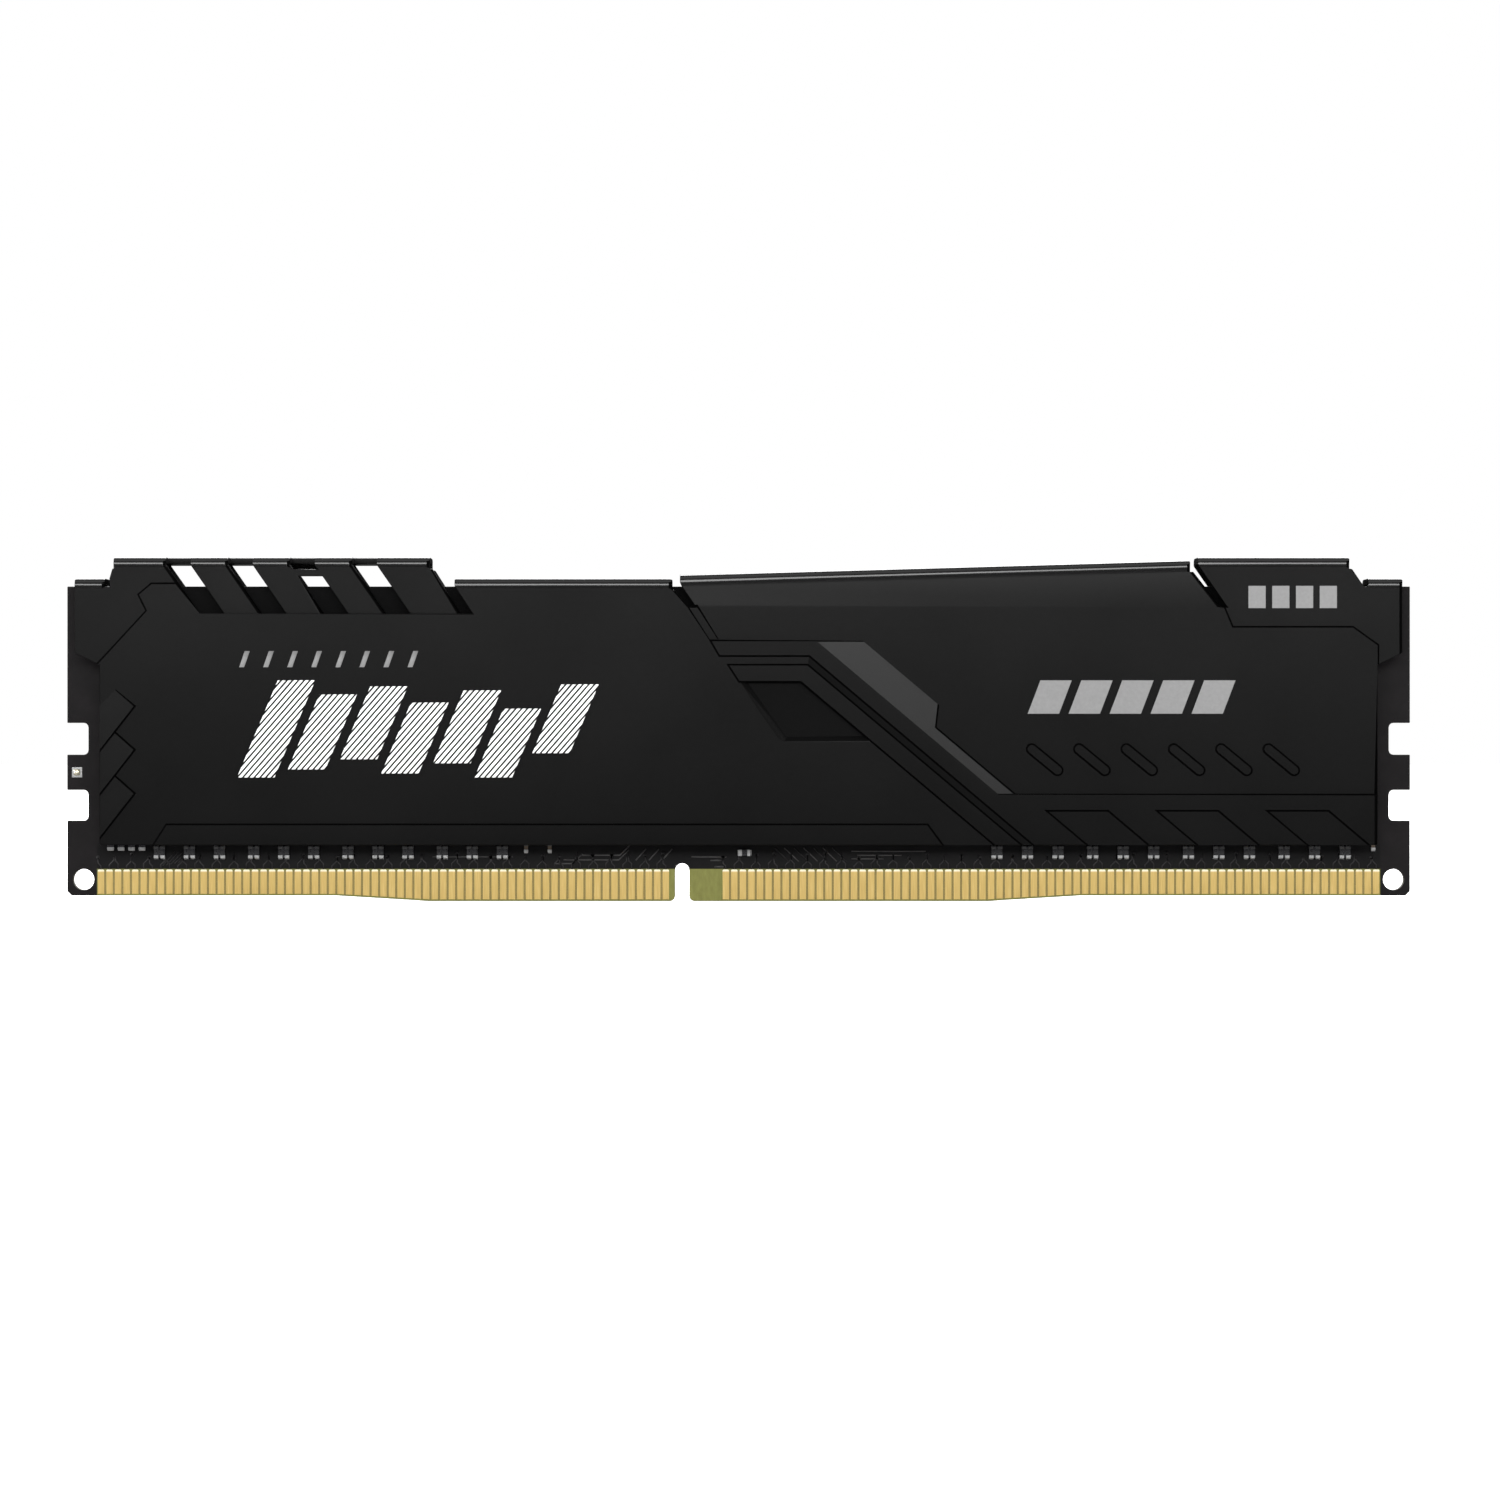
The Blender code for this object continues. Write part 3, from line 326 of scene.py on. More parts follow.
class Graph:
    """A small helper round one material's nodes."""

    def __init__(self, name):
        self.material = bpy.data.materials.new(name)
        self.material.use_nodes = True
        self.tree = self.material.node_tree
        self.shader = self.tree.nodes["Principled BSDF"]
        self.place = self.add("ShaderNodeTexCoord").outputs["Object"]

    def add(self, kind, **values):
        node = self.tree.nodes.new(kind)
        for key, value in values.items():
            setattr(node, key, value)
        return node

    def link(self, source, target):
        self.tree.links.new(source, target)

    def noise(self, size, detail=3.0, roughness=0.55, stretch=None):
        """Noise whose features are about size millimetres wide."""
        node = self.add("ShaderNodeTexNoise")
        node.inputs["Scale"].default_value = 1 / (size * MM)
        node.inputs["Detail"].default_value = detail
        node.inputs["Roughness"].default_value = roughness
        self.link(self.stretched(stretch) if stretch else self.place, node.inputs["Vector"])
        return node.outputs["Fac"]

    def stretched(self, scale):
        node = self.add("ShaderNodeMapping")
        node.inputs["Scale"].default_value = scale
        self.link(self.place, node.inputs["Vector"])
        return node.outputs["Vector"]

    def ramp(self, value, stops):
        node = self.add("ShaderNodeValToRGB")
        elements = node.color_ramp.elements
        while len(elements) < len(stops):
            elements.new(0.5)
        for element, (position, colour) in zip(elements, stops):
            element.position = position
            element.color = (*colour, 1) if len(colour) == 3 else colour
        self.link(value, node.inputs["Fac"])
        return node.outputs["Color"]

    def span(self, value, low, high, low_out=0.0, high_out=1.0):
        node = self.add("ShaderNodeMapRange")
        for key, amount in (("From Min", low), ("From Max", high), ("To Min", low_out), ("To Max", high_out)):
            node.inputs[key].default_value = amount
        self.link(value, node.inputs["Value"])
        return node.outputs["Result"]

    def math(self, operation, first, second):
        node = self.add("ShaderNodeMath", operation=operation)
        for socket, value in zip(node.inputs, (first, second)):
            if isinstance(value, (int, float)):
                socket.default_value = value
            else:
                self.link(value, socket)
        return node.outputs["Value"]

    def mix(self, factor, first, second):
        node = self.add("ShaderNodeMix", data_type="RGBA")
        self.link(factor, node.inputs["Factor"])
        for socket, value in ((node.inputs["A"], first), (node.inputs["B"], second)):
            if isinstance(value, tuple):
                socket.default_value = (*value, 1)
            else:
                self.link(value, socket)
        return node.outputs["Result"]

    def axes(self):
        node = self.add("ShaderNodeSeparateXYZ")
        self.link(self.place, node.inputs["Vector"])
        return node.outputs

    def bump(self, height, strength, distance):
        node = self.add("ShaderNodeBump")
        node.inputs["Strength"].default_value = strength
        node.inputs["Distance"].default_value = distance * MM
        self.link(height, node.inputs["Height"])
        self.link(node.outputs["Normal"], self.shader.inputs["Normal"])

    def set(self, **values):
        for key, value in values.items():
            socket = self.shader.inputs[key.replace("_", " ")]
            if isinstance(value, tuple):
                socket.default_value = (*value, 1) if len(value) == 3 else value
            elif isinstance(value, (int, float)):
                socket.default_value = value
            else:
                self.link(value, socket)


def shades(colour, spread):
    """Two stops of a ramp, a little below and above a colour."""
    return [(0.3, tuple(c * (1 - spread) for c in colour)), (0.7, tuple(c * (1 + spread) for c in colour))]


def coated_metal(name, colour, roughness, specular, grain, painted_shade_share=None, ior=1.5):
    """Black coated aluminium with a fine grain. Given a share, its tone and shine fall to that share towards the
    plate's foot, as painted shade.
    """
    g = Graph(name)
    slow, fine = g.noise(14, 2), g.noise(0.11, 2)
    blend = g.math("ADD", g.math("MULTIPLY", slow, 0.5), g.math("MULTIPLY", fine, 0.5))
    tone = g.ramp(blend, shades(colour, 0.18))
    # Painted shade: the coating darkens and dulls towards the plates' foot
    if painted_shade_share is not None:
        height, (foot, head) = g.axes()[2], PAINTED_SHADE_SPAN
        painted_shade_tone = g.add("ShaderNodeMix", data_type="RGBA", blend_type="MULTIPLY")
        painted_shade_tone.inputs["Factor"].default_value = 1.0
        g.link(tone, painted_shade_tone.inputs["A"])
        g.link(g.span(height, foot * MM, head * MM, painted_shade_share, 1.0), painted_shade_tone.inputs["B"])
        tone = painted_shade_tone.outputs["Result"]
        specular = g.span(height, foot * MM, head * MM, painted_shade_share * specular, specular)
    g.set(Base_Color=tone, Metallic=0.0, Specular_IOR_Level=specular, IOR=ior,
          Roughness=g.span(blend, 0.3, 0.7, roughness - 0.04, roughness + 0.05))
    g.bump(fine, grain, 0.004)
    return g.material


def board_material():
    """Black mottled solder mask, darker as painted shade above the contacts and over the top behind the plates,
    and bare laminate at the contact edge.
    """
    g = Graph("board_mask")
    x, _, z = g.axes()
    mottle, speck = g.noise(2.6, 4, 0.65), g.noise(0.22, 2)
    mask = g.ramp(mottle, [(0.3, (0.0048, 0.0041, 0.0045)), (0.5, (0.006, 0.005, 0.0055)),
                           (0.72, (0.0085, 0.0068, 0.0077))])
    weave = g.noise(0.35, 2, stretch=(1, 1, 0.35))
    laminate = g.ramp(weave, [(0.3, (0.135, 0.137, 0.038)), (0.7, (0.172, 0.174, 0.05))])
    low = g.span(z, (BARE_TOP + BARE_FADE) * MM, (BARE_TOP - BARE_FADE) * MM)
    inside = g.span(g.math("ABSOLUTE", x, 0.0),
                    (BARE_HALF_LENGTH + BARE_FADE) * MM, (BARE_HALF_LENGTH - BARE_FADE) * MM)
    bare = g.math("MULTIPLY", low, inside)
    # Painted shade: the mask's top, behind the plates, is darker and less shiny
    painted_shade_top = g.span(z, PAINTED_SHADE_TOP_FOOT[0] * MM, PAINTED_SHADE_TOP_FOOT[1] * MM)
    sides = g.span(g.math("ABSOLUTE", x, 0.0), PAINTED_SHADE_TOP_SIDE[0] * MM, PAINTED_SHADE_TOP_SIDE[1] * MM)
    painted_shade_top = g.math("MULTIPLY", painted_shade_top, sides)
    # Painted shade: the mask is darker in the strip just under the plates' lower edge
    painted_shade_strip = g.math("MULTIPLY", g.span(z, PAINTED_SHADE_STRIP_TOP[0] * MM, PAINTED_SHADE_STRIP_TOP[1] * MM), inside)
    painted_shade_mask_tone = g.ramp(mottle, [(0.35, (0.0026, 0.0026, 0.0028)), (0.7, (0.0038, 0.0035, 0.0038))])
    tone = g.mix(painted_shade_strip, mask, painted_shade_mask_tone)
    tone = g.mix(painted_shade_top, tone, (0.0045, 0.0045, 0.0047))
    g.set(Base_Color=g.mix(bare, tone, laminate), Roughness=g.span(speck, 0.3, 0.7, 0.34, 0.46),
          Specular_IOR_Level=g.span(painted_shade_top, 0, 1, 0.13, 0.04))
    g.bump(g.math("ADD", speck, mottle), 0.25, 0.006)
    return g.material


def cut_edge_material():
    """The routed rim of the board: dull glass fibre."""
    g = Graph("board_rim")
    fibre = g.noise(0.12, 3, stretch=(1, 3, 1))
    tone = g.ramp(fibre, [(0.3, (0.035, 0.032, 0.024)), (0.7, (0.085, 0.08, 0.055))])
    g.set(Base_Color=tone, Roughness=0.75)
    g.bump(fibre, 0.4, 0.02)
    return g.material


def gold_material():
    """Gold-plated contacts: satin metal with vertical insertion marks, a fine grain and upper ends paled as a
    painted highlight.
    """
    g = Graph("contact_gold")
    marks, grain = g.noise(0.25, 3, stretch=(3.2, 1, 0.12)), g.noise(0.09, 2)
    tone = g.ramp(marks, [(0.3, (0.66, 0.46, 0.15)), (0.55, (0.73, 0.53, 0.19)), (0.75, (0.8, 0.61, 0.26))])
    # Painted highlight: the contacts' upper ends are paler
    painted_highlight_end = g.span(g.axes()[2], (CONTACT_TOP - 0.28) * MM, (CONTACT_TOP - 0.12) * MM)
    tone = g.mix(painted_highlight_end, tone, (1.0, 0.93, 0.72))
    g.set(Base_Color=tone, Metallic=0.9, Roughness=g.span(marks, 0.3, 0.7, 0.34, 0.42))
    g.bump(g.math("ADD", grain, marks), 0.2, 0.004)
    return g.material


def tin_material(name, low, high, metallic):
    """Solder and tinned terminals, with their tone between two colours."""
    g = Graph(name)
    grain = g.noise(0.08, 3)
    g.set(Base_Color=g.ramp(grain, [(0.3, low), (0.7, high)]), Metallic=metallic,
          Roughness=g.span(grain, 0.3, 0.7, 0.3, 0.5))
    g.bump(grain, 0.4, 0.01)
    return g.material


def plain_body(name, colour, roughness, grain_size, grain):
    """A moulded or fired body with a fine grain."""
    g = Graph(name)
    fine = g.noise(grain_size, 3)
    g.set(Base_Color=g.ramp(fine, shades(colour, 0.25)),
          Roughness=g.span(fine, 0.3, 0.7, roughness - 0.06, roughness + 0.06))
    g.bump(fine, grain, grain_size * 0.15)
    return g.material


def ink_material(name, colour):
    """Printed ink with a faintly uneven cover."""
    g = Graph(name)
    cover = g.noise(0.3, 3)
    g.set(Base_Color=g.ramp(cover, shades(colour, 0.05)), Roughness=0.55, Specular_IOR_Level=0.3)
    g.bump(cover, 0.1, 0.003)
    return g.material


# ---------------------------------------------------------------- materials

black = coated_metal("black_coating", (0.0045, 0.0045, 0.0045), 0.35, 0.14, 0.35, 0.62)
# Facet: a lighter, shinier copy of the coating, a painted highlight where the tilted facet catches the light
facet_painted_highlight = coated_metal("facet_painted_highlight_coating", (0.012, 0.012, 0.012), 0.4, 0.32, 0.5, 0.65)
# Pocket and groove: a darker, duller copy of the coating, painted shade in the recesses
hollow_painted_shade = coated_metal("hollow_painted_shade_coating", (0.0022, 0.0022, 0.0022), 0.5, 0.06, 0.3)
# Walls and cut brinks: a near-black copy of the coating, painted shadow
wall_painted_shadow = coated_metal("cut_wall_painted_shadow_coating", (0.0008, 0.0008, 0.0008), 0.6, 0.02, 0.3)
bend_black = coated_metal("bend_coating", (0.0025, 0.0025, 0.0025), 0.16, 0.5, 0.1, ior=1.6)
mask = board_material()
rim = cut_edge_material()
gold = gold_material()
tin = tin_material("tin_solder", (0.27, 0.275, 0.28), (0.44, 0.44, 0.435), 0.6)
# Upper terminals of upright parts: darker tin, painted shade under the plates' lower edge
tin_in_painted_shade = tin_material("shaded_tin", (0.025, 0.025, 0.026), (0.055, 0.055, 0.055), 0.2)
contact_shade = plain_body("contact_gap", (0.2, 0.15, 0.035), 0.6, 0.1, 0.2)
ceramic = plain_body("array_glass", (0.014, 0.014, 0.016), 0.3, 0.1, 0.2)
capacitor_ceramic = plain_body("capacitor_ceramic", (0.06, 0.042, 0.026), 0.5, 0.09, 0.3)
mould = plain_body("chip_mould", (0.018, 0.018, 0.019), 0.62, 0.12, 0.4)
pad_foam = plain_body("thermal_pad", (0.3, 0.34, 0.38), 0.85, 0.25, 0.5)
trace_mask = plain_body("trace_mask", (0.0062, 0.0056, 0.0062), 0.5, 0.4, 0.1)
bright_trace = plain_body("bright_trace", (0.03, 0.029, 0.029), 0.5, 0.4, 0.1)
white_ink = ink_material("white_ink", (0.92, 0.92, 0.91))
grey_ink = ink_material("grey_ink", (0.2, 0.2, 0.2))


# ---------------------------------------------------------------- heat spreader plates

# The plates' coatings: plain, the facet's painted highlight, the pocket's painted shade, the walls' painted
# shadow, and the glossier bends
PLATE_MATERIALS = [black, facet_painted_highlight, hollow_painted_shade, wall_painted_shadow, bend_black]
PLAIN, FACET, POCKET, WALL, BEND = range(len(PLATE_MATERIALS))


def plate_finish(face, side, outer):
    """Which of PLATE_MATERIALS a plate's face takes: the facet a lighter coating as painted highlight, the
    pocket a darker one as painted shade, the walls a near-black one as painted shadow, and the bends a glossier
    one.
    """
    centre = face.calc_center_median() / MM
    outwards = face.normal.y * side
    lean = Vector((face.normal.x, face.normal.z)).normalized()
    if (FACET_TILT[0] < outwards < FACET_TILT[1] and lean.dot(RIB_SLOPE) > FACET_MATCH
            and centre.x < FACET_RIGHT):
        return FACET
    if (POCKET_DEPTH[0] < outer - side * centre.y < POCKET_DEPTH[1]
            and POCKET_X[0] < centre.x < POCKET_X[1] and POCKET_Z[0] < centre.z < POCKET_Z[1]):
        return POCKET
    if abs(face.normal.y) < ACROSS and abs(face.normal.z) < ALONG:
        return WALL
    if centre.z > BEND_LEVEL and BEND_TILT[0] < outwards < BEND_TILT[1] and breadth(face) < BEND_BREADTH * MM:
        return BEND
    return PLAIN


def shade_groove(shape, side, level, material):
    """Parts the slanted groove between the two ribs from the panel, and gives its floor a darker tone as painted
    shade.
    """
    ends = [min(shape.verts, key=lambda vertex: (vertex.co - Vector((x, side * level, z)) * MM).length)
            for x, z in GROOVE_CORNERS]
    for face in ends[0].link_faces:
        if face in ends[1].link_faces and face.normal.y * side > ALONG:
            other, _ = bmesh.utils.face_split(face, *ends)
            min(face, other, key=lambda part: part.calc_area()).material_index = material
            return


def plate(node, name, side):
    """One spreader plate with softened edges. side is -1 at the front and 1 at the back.

    Returns how far its outer face is from the module's mid-plane.
    """
    low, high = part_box(node)
    outer = (high.y if side > 0 else -low.y) / MM
    shape = clean_copy(node)
    for face in shape.faces:
        face.material_index = plate_finish(face, side, outer)
    shade_groove(shape, side, outer - PANEL_DEPTH, POCKET)
    part_fin_foot(shape, side, outer - FRAME_DEPTH)
    soften_relief(shape, side, outer, RELIEF_SOFTENING, WALL)
    soften_cuts(shape, side, outer, CUT_SOFTENING, WALL)
    soften(shape, PLATE_SOFTENING)
    obj = finish_mesh(shape, name, PLATE_MATERIALS)
    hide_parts(node)
    return outer


outer_face = plate("front_heat_spreader", "front_spreader_plate", -1)
plate("back_heat_spreader", "back_spreader_plate", 1)


# ---------------------------------------------------------------- board, contacts and traces

def circuit_board():
    """The board: mask on its faces, and the routed rim round them."""
    shape = clean_copy("circuit_board")
    for face in shape.faces:
        if abs(face.normal.y) < 0.5:
            face.material_index = 1
    soften(shape, BOARD_SOFTENING)
    obj = finish_mesh(shape, "board_laminate_panel", [mask, rim])
    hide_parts("circuit_board")


def contact_foot(left, right):
    """The two lower corners of a contact or a gap, which follow the board's edge."""
    return [(x, board_edge(x) + CONTACT_EDGE_MARGIN) for x in (left, right)]


def contact_outline(centre):
    """One contact, with rounded upper corners."""
    half, corner = CONTACT_WIDTH / 2, CONTACT_CORNER
    left, right = centre - half, centre + half
    return [*contact_foot(left, right),
            *arc((right - corner, CONTACT_TOP - corner), corner, 0, 90, 3),
            *arc((left + corner, CONTACT_TOP - corner), corner, 90, 180, 3)]


def contact_row(face, end, side, board_face):
    """The contacts of one row, and the shaded gaps between them."""
    first, count = ROWS[end]
    shape = bmesh.new()
    for i in range(count):
        centre = first + i * CONTACT_PITCH
        prism(shape, contact_outline(centre), side * board_face, side * (board_face + CONTACT_PROUD))
        if i:
            left, right = centre - CONTACT_PITCH + CONTACT_WIDTH / 2, centre - CONTACT_WIDTH / 2
            head = CONTACT_TOP - CONTACT_CORNER
            gap = [*contact_foot(left, right), (right, head), (left, head)]
            prism(shape, gap, side * board_face, side * (board_face + CONTACT_GAP_PROUD), 1)
    raised = (board_face + CONTACT_PROUD / 2) * MM
    edges = [edge for edge in shape.edges if all(abs(vertex.co.y) > raised for vertex in edge.verts)]
    bevel_edges(shape, edges, CONTACT_SOFTENING)
    obj = finish_mesh(shape, f"{face}_{end}_contacts", [gold, contact_shade])
    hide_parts(f"{face}_{end}_edge_contacts")


def ribbon(shape, points, width, base, top, material=0):
    """A trace: a flat-topped strip along the (x, z) points, with mitred corners."""
    ways = [(Vector(b) - Vector(a)).normalized() for a, b in zip(points, points[1:])]
    left, right = [], []
    for i, point in enumerate(points):
        before, after = ways[max(i - 1, 0)], ways[min(i, len(ways) - 1)]
        across = Vector((-(before + after).y, (before + after).x)).normalized()
        reach = width / 2 / max(across.dot(Vector((-before.y, before.x))), 0.4)
        left.append(tuple(Vector(point) + across * reach))
        right.append(tuple(Vector(point) - across * reach))
    prism(shape, left + right[::-1], base, top, material)


def via(shape, x, z, radius, base, top, material=0):
    """A small round pad."""
    prism(shape, arc((x, z), radius, 0, 330, 11), base, top, material)


def fan_traces(shape, rng, base, top):
    """Fine traces that leave each contact and jog towards the arrays above."""
    for end in ("left", "right"):
        first, count = ROWS[end]
        for i in range(count):
            x = first + i * CONTACT_PITCH
            jog = (0.55 if i % 2 else -0.4) * (0.6 + 0.4 * rng.random())
            rise = 3.5 + 0.12 * (i % 3)
            head = 4.3 + 0.5 * rng.random()
            points = [(x, CONTACT_TOP - 0.05), (x, rise), (x + jog, rise + abs(jog)), (x + jog, head)]
            ribbon(shape, points, 0.13, base, top)
            if i % 3 == 0:
                via(shape, *points[-1], 0.2, base, top)


def long_traces(shape, base, top):
    """Bundles that run along the board on both sides of the key notch."""
    for start, end, z in ((-15.6, -11.8, 4.57), (-18.2, -16.5, 3.72), (-17.4, -11.9, 4.1)):
        ribbon(shape, [(start, z), (end, z), (end + 1.0, z + 1.0)], 0.14, base, top, 1)
    for x in (-10.2, -8.9, -7.6):
        ribbon(shape, [(x, 4.05), (x + 1.0, 5.2)], 0.14, base, top, 1)
    for start, end, z in ((-4.7, -1.2, 4.4), (-2.8, -1.7, 4.05), (-2.4, -1.5, 3.42)):
        ribbon(shape, [(start, z), (end, z)], 0.16, base, top, 1)
    for i in range(7):
        x = 3.6 + i * 0.95
        ribbon(shape, [(x, 5.3), (x + 1.4, 3.95)], 0.12, base, top, i % 2)
    for start, end, z in ((11.2, 18.6, 4.95), (11.8, 16.2, 4.55), (11.2, 14.4, 4.2), (-30.4, -22.4, 4.4)):
        ribbon(shape, [(start, z), (end, z)], 0.12, base, top, 1)
    for i in range(5):
        ribbon(shape, [(-57.2 + i * 0.4, 3.5 + i * 0.08), (-56.0 + i * 0.4, 4.9)], 0.1, base, top)


def traces(board_face):
    """The copper that shows faintly under the front's solder mask."""
    rng = random.Random(4)
    shape = bmesh.new()
    base, top = -board_face, -(board_face + TRACE_PROUD)
    fan_traces(shape, rng, base, top)
    long_traces(shape, base, top)
    obj = finish_mesh(shape, "front_traces", [trace_mask, bright_trace])


def ground_pad():
    """The small gold square on the left tab, inside its pale solder frame."""
    low, high = (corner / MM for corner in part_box("ground_pad"))
    x, z, width = (low.x + high.x) / 2, (low.z + high.z) / 2, high.x - low.x
    shape = bmesh.new()
    prism(shape, rectangle(x, z, width, width), high.y, low.y + 0.02, 1)
    prism(shape, rectangle(x, z, width * 0.62, width * 0.62), high.y, low.y, 0)
    obj = finish_mesh(shape, "gold_ground_pad", [gold, tin])
    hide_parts("ground_pad")


board_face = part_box("circuit_board")[1].y / MM
circuit_board()
for face_name, side in (("front", -1), ("back", 1)):
    for end_name in ROWS:
        contact_row(face_name, end_name, side, board_face)
traces(board_face)
ground_pad()


# ---------------------------------------------------------------- small parts

def terminals_of(width, height, columns, band, upright):
    """Places and sizes (x, z, width, height) of the tinned ends of a chip part of one or more elements."""
    gap = ELEMENT_GAP if columns > 1 else 0
    each = (width - gap * (columns - 1)) / columns
    outlines = []
    for sign in (-1, 1):
        for column in range(columns):
            offset = -width / 2 + each / 2 + column * (each + gap)
            if upright:
                outlines.append((offset, sign * (height - band) / 2, each, band))
            else:
                outlines.append((sign * (width - band) / 2, 0, band, height))
    return outlines


def chip_part_mesh(name, size, columns, band, upright, body):
    """A surface-mount part about its own centre: body, tinned ends and solder feet. The board is at +Y."""
    width, height, thickness = size
    front, back = -thickness / 2, thickness / 2
    shape = bmesh.new()
    outline = (rectangle(0, 0, width - BODY_INSET, height - 2 * BODY_INSET) if upright
               else rectangle(0, 0, width - 2 * BODY_INSET, height - BODY_INSET))
    prism(shape, outline, back - 0.02, front + BODY_INSET, 0)
    for x, z, across, up in terminals_of(width, height, columns, band, upright):
        # Upper terminals of upright parts take the darker tin: painted shade under the plate's edge
        finish = 2 if upright and z > 0 else 1
        prism(shape, rectangle(x, z, across, up), back, front, finish)
        reach = FOOT_REACH
        foot = (rectangle(x, z + math.copysign(reach / 2 + up / 2, z), across * 0.95, reach) if upright
                else rectangle(x + math.copysign(reach / 2 + across / 2, x), z, reach, up * 0.95))
        faces = prism(shape, foot, back + SOLDER_GAP, back - FOOT_THICKNESS, finish)
        for vertex in faces[0].verts:
            near = (abs(vertex.co.z) < abs(z) * MM + up * MM / 2 + 1e-6 if upright
                    else abs(vertex.co.x) < abs(x) * MM + across * MM / 2 + 1e-6)
            if near:
                vertex.co.y -= (thickness - FOOT_BELOW_TOP) * MM
    edges = [edge for edge in shape.edges if edge.calc_face_angle_signed(0) > SHARP_ANGLE]
    bmesh.ops.bevel(shape, geom=edges, offset=PART_SOFTENING * MM, offset_type="OFFSET", segments=2,
                    profile=0.6, affect="EDGES", clamp_overlap=True)
    return shaded_mesh(shape, name, [body, tin, tin_in_painted_shade])


def place_parts(names, columns, band, upright, body):
    """Stands one detailed part for each CAD node, in the node's own box."""
    made = None
    for node in names:
        low, high = (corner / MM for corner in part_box(node))
        if made is None:
            feet = 2 * FOOT_REACH if upright and columns > 1 else 0
            size = (high.x - low.x, high.z - low.z - feet, high.y - low.y)
            made = chip_part_mesh(node + "_detail", size, columns, band, upright, body)
        obj = add_object(node + "_part", made, (low + high) / 2 * MM)
        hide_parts(node)


ARRAYS = [f"{end}_resistor_array_{i}" for end in ("left", "right") for i in range(1, 13)]
place_parts(ARRAYS, 2, 0.24, True, ceramic)
place_parts([f"end_resistor_{i}" for i in range(1, 5)], 1, 0.2, True, ceramic)
place_parts(["sense_resistor"], 1, 0.28, False, ceramic)
place_parts(["left_filter_capacitor", "right_filter_capacitor", "end_capacitor"], 1, 0.22, True,
            capacitor_ceramic)
place_parts([f"decoupling_capacitor_{i}" for i in range(1, 7)], 1, 0.28, True,
            capacitor_ceramic)


def dress(names, material, softening):
    """Gives CAD nodes that are shown as they are a finish and soft edges."""
    for name in names:
        node = nodes[name]
        node.data.materials.clear()
        node.data.materials.append(material)
        weld = node.modifiers.new("weld", "WELD")
        weld.merge_threshold = 2e-6
        bevel = node.modifiers.new("soft_edges", "BEVEL")
        bevel.width = softening * MM
        bevel.segments = 2
        bevel.limit_method = "ANGLE"
        bevel.angle_limit = SHARP_ANGLE


dress([f"memory_chip_{i}" for i in range(1, 9)] + ["spd_chip"], mould, CHIP_SOFTENING)
dress(["front_left_thermal_pad", "front_right_thermal_pad", "back_thermal_pad"],
      pad_foam, PAD_SOFTENING)


# ---------------------------------------------------------------- print

def clipped(polygon, point, direction):
    """The part of a convex polygon on the side of a line that direction points to."""
    kept = []
    for a, b in zip(polygon, polygon[1:] + polygon[:1]):
        da = (a[0] - point[0]) * direction[0] + (a[1] - point[1]) * direction[1]
        db = (b[0] - point[0]) * direction[0] + (b[1] - point[1]) * direction[1]
        if da >= 0:
            kept.append(a)
        if (da >= 0) != (db >= 0):
            t = da / (da - db)
            kept.append((a[0] + (b[0] - a[0]) * t, a[1] + (b[1] - a[1]) * t))
    return kept


def hatched(polygon, pitch, share, angle):
    """Stripes of a convex polygon, as separate outlines."""
    across = (-math.sin(math.radians(angle)), math.cos(math.radians(angle)))
    distances = [x * across[0] + z * across[1] for x, z in polygon]
    stripes = []
    for i in range(math.floor(min(distances) / pitch), math.ceil(max(distances) / pitch) + 1):
        low = tuple(c * i * pitch for c in across)
        high = tuple(c * (i + share) * pitch for c in across)
        stripe = clipped(clipped(polygon, low, across), high, (-across[0], -across[1]))
        if len(stripe) > 2:
            stripes.append(stripe)
    return stripes


def slanted_bar(left, low, width, height, lean):
    """A bar that leans to the right as it rises."""
    return [(left, low), (left + width, low), (left + width + height * lean, low + height),
            (left + height * lean, low + height)]


def print_on(name, outlines, face_y, ink):
    """Ink on a face that looks forward, as one thin raised mesh."""
    shape = bmesh.new()
    for outline in outlines:
        prism(shape, outline, face_y + INK_SINK, face_y - INK_PROUD)
    obj = finish_mesh(shape, name, [ink])


def main_emblem():
    """Slanted, hatched bars of stepped length: a plain stripe pattern."""
    bars = []
    for i, (drop, rise) in enumerate(zip(EMBLEM_DROPS, EMBLEM_RISES)):
        low, high = EMBLEM_FOOT + rise, EMBLEM_TOP - drop
        left = EMBLEM_LEFT + i * EMBLEM_BAR_PITCH + (low - EMBLEM_FOOT) * EMBLEM_LEAN
        bars.append(slanted_bar(left, low, EMBLEM_BAR_WIDTH, high - low, EMBLEM_LEAN))
    return [stripe for bar in bars for stripe in hatched(bar, HATCH_PITCH, HATCH_SHARE, HATCH_ANGLE)]


panel_face = -(outer_face - PANEL_DEPTH)
corner_face = -(outer_face - FRAME_DEPTH)
print_on("stripe_emblem", main_emblem(), panel_face, white_ink)
dashes = [slanted_bar(-49.4 + i * 2.38, 23.2, 0.5, 1.6, 0.35) for i in range(8)]
blocks = [slanted_bar(28.6 + i * 4.05, 18.6, 3.1, 3.3, 0.38) for i in range(5)]
corner_blocks = [rectangle(51.3 + i * 2.35, 30.15, 1.7, 2.2) for i in range(4)]
print_on("dash_row", dashes, panel_face, grey_ink)
print_on("block_row", blocks, panel_face, grey_ink)
print_on("corner_blocks", corner_blocks, corner_face, grey_ink)


# ---------------------------------------------------------------- studio

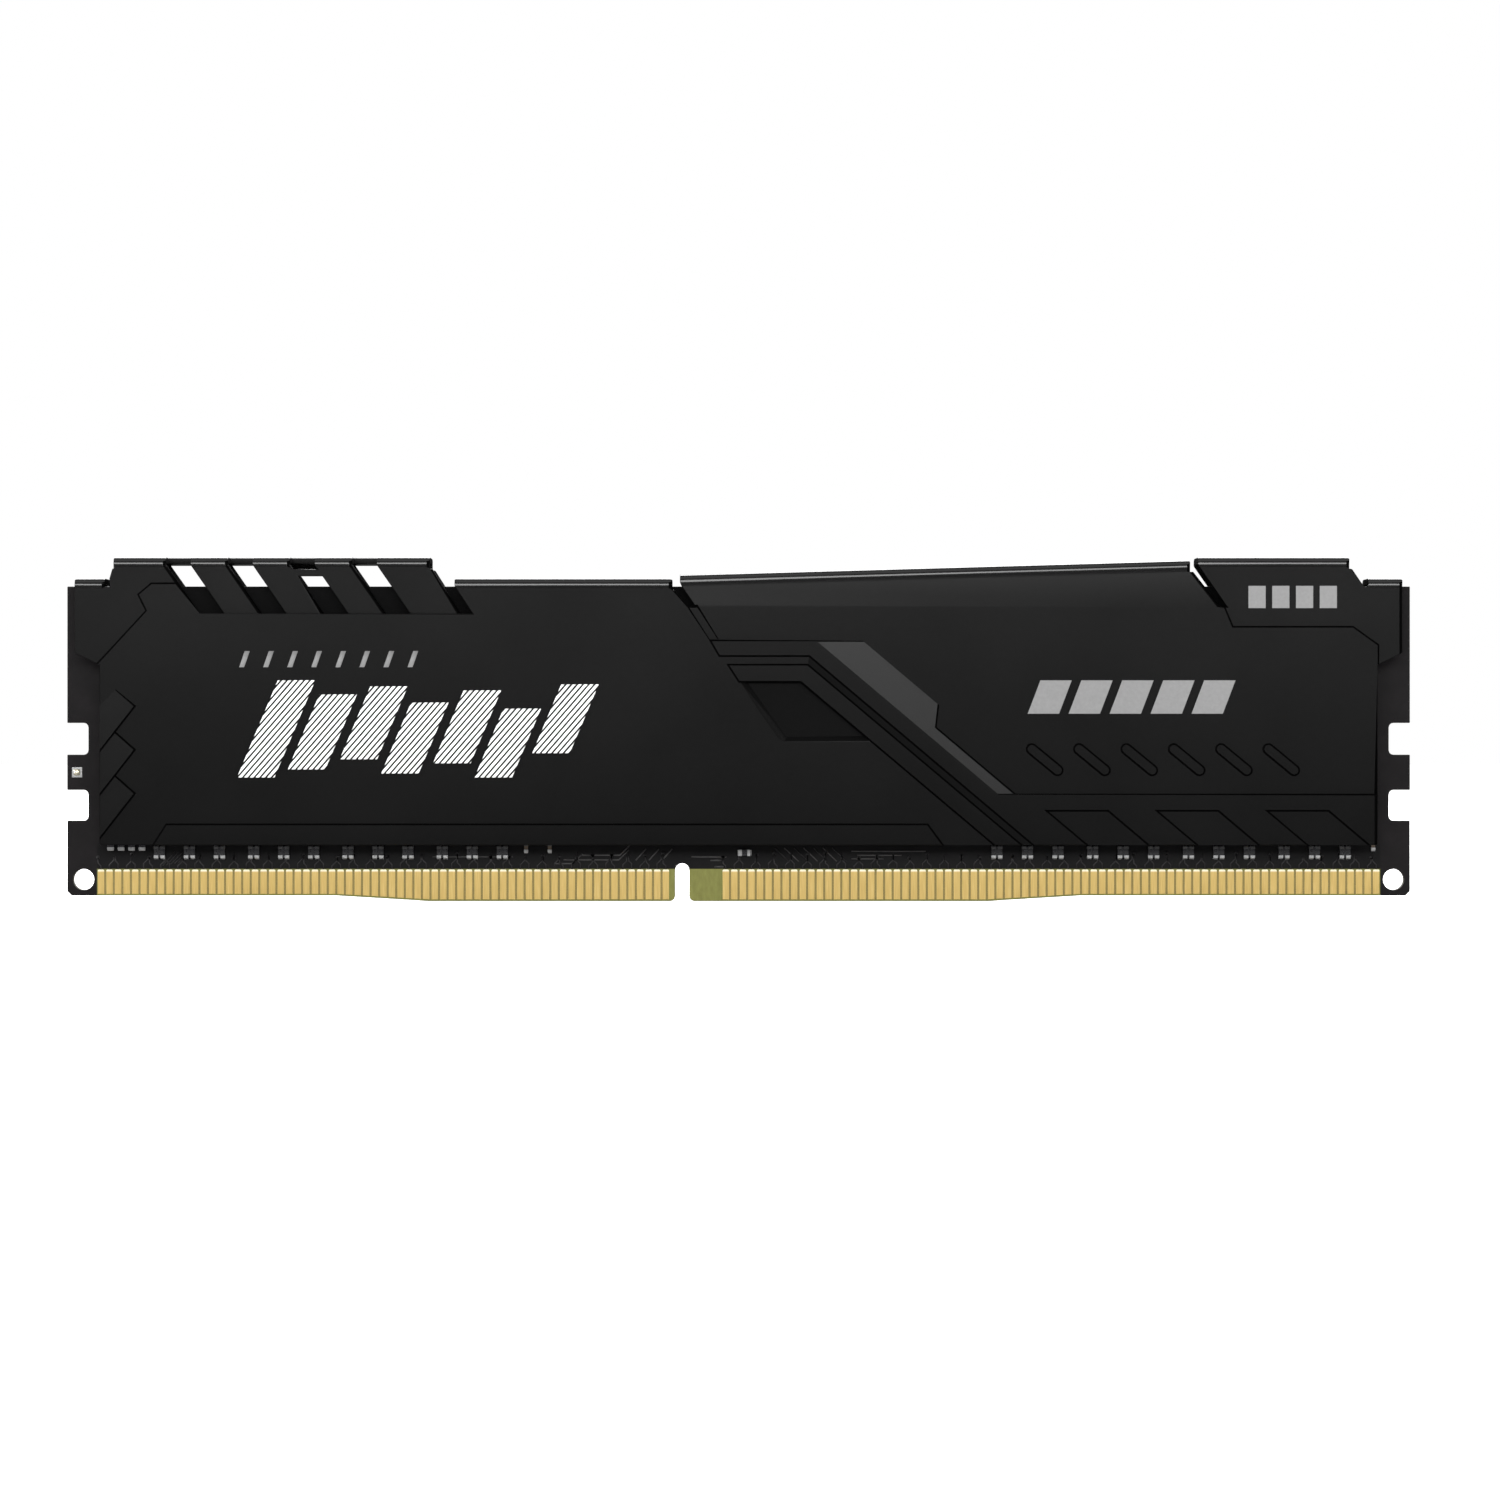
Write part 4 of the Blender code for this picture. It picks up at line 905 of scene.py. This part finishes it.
def pale_floor():
    """A wide pale floor that glows a little, as a lit table does."""
    g = Graph("pale_floor")
    slow = g.noise(60, 2)
    g.set(Base_Color=g.ramp(slow, shades((0.86, 0.86, 0.86), 0.01)), Roughness=0.9, Specular_IOR_Level=0.0,
          Emission_Color=(1.0, 1.0, 1.0), Emission_Strength=0.95)
    mesh = bpy.data.meshes.new("floor")
    shape = bmesh.new()
    bmesh.ops.create_grid(shape, x_segments=1, y_segments=1, size=FLOOR_HALF_SIZE)
    shape.to_mesh(mesh)
    shape.free()
    mesh.materials.append(g.material)
    floor = bpy.data.objects.new("floor", mesh)
    bpy.context.scene.collection.objects.link(floor)
    floor.visible_glossy = False


def softbox(name, azimuth, elevation, distance, width, height, radiance):
    """An area light aimed at the module, in metres. Azimuth runs from the camera's side towards the right."""
    a, e = math.radians(azimuth), math.radians(elevation)
    way = Vector((math.sin(a) * math.cos(e), -math.cos(a) * math.cos(e), math.sin(e)))
    light = bpy.data.lights.new(name, "AREA")
    light.shape = "RECTANGLE"
    light.size, light.size_y = width, height
    light.energy = radiance * math.pi * width * height
    obj = bpy.data.objects.new(name, light)
    obj.location = LIGHT_TARGET + way * distance
    obj.rotation_euler = (-way).to_track_quat("-Z", "Y").to_euler()
    obj.visible_camera = False
    bpy.context.scene.collection.objects.link(obj)


def studio():
    """A dim even world, which the camera sees as white, and four soft lights."""
    world = bpy.data.worlds.new("studio")
    bpy.context.scene.world = world
    world.use_nodes = True
    tree = world.node_tree
    dim, bright = tree.nodes["Background"], tree.nodes.new("ShaderNodeBackground")
    dim.inputs["Color"].default_value = (0.2, 0.2, 0.2, 1)
    bright.inputs["Color"].default_value = (1, 1, 1, 1)
    path, mix = tree.nodes.new("ShaderNodeLightPath"), tree.nodes.new("ShaderNodeMixShader")
    tree.links.new(path.outputs["Is Camera Ray"], mix.inputs["Fac"])
    tree.links.new(dim.outputs["Background"], mix.inputs[1])
    tree.links.new(bright.outputs["Background"], mix.inputs[2])
    tree.links.new(mix.outputs["Shader"], tree.nodes["World Output"].inputs["Surface"])
    softbox("front_strip", 0, 22, 1.5, 2.6, 0.5, 6.0)
    softbox("left_box", -97, 8, 1.4, 1.0, 0.9, 10.0)
    softbox("overhead", 0, 75, 1.4, 2.0, 1.0, 0.5)
    softbox("back_strip", 180, 38, 1.5, 2.6, 0.7, 9.0)


def camera():
    """The photograph's view: level and straight on."""
    data = bpy.data.cameras.new("camera")
    data.lens = CAMERA_LENS
    data.clip_start, data.clip_end = 0.01, 50
    obj = bpy.data.objects.new("camera", data)
    obj.location = (CAMERA_X * MM, -CAMERA_DISTANCE * MM, CAMERA_Z * MM)
    obj.rotation_euler = (math.radians(90), 0, 0)
    bpy.context.scene.collection.objects.link(obj)
    bpy.context.scene.camera = obj


pale_floor()
studio()
camera()
bpy.context.scene.view_settings.view_transform = "Standard"

bpy.context.view_layer.update()
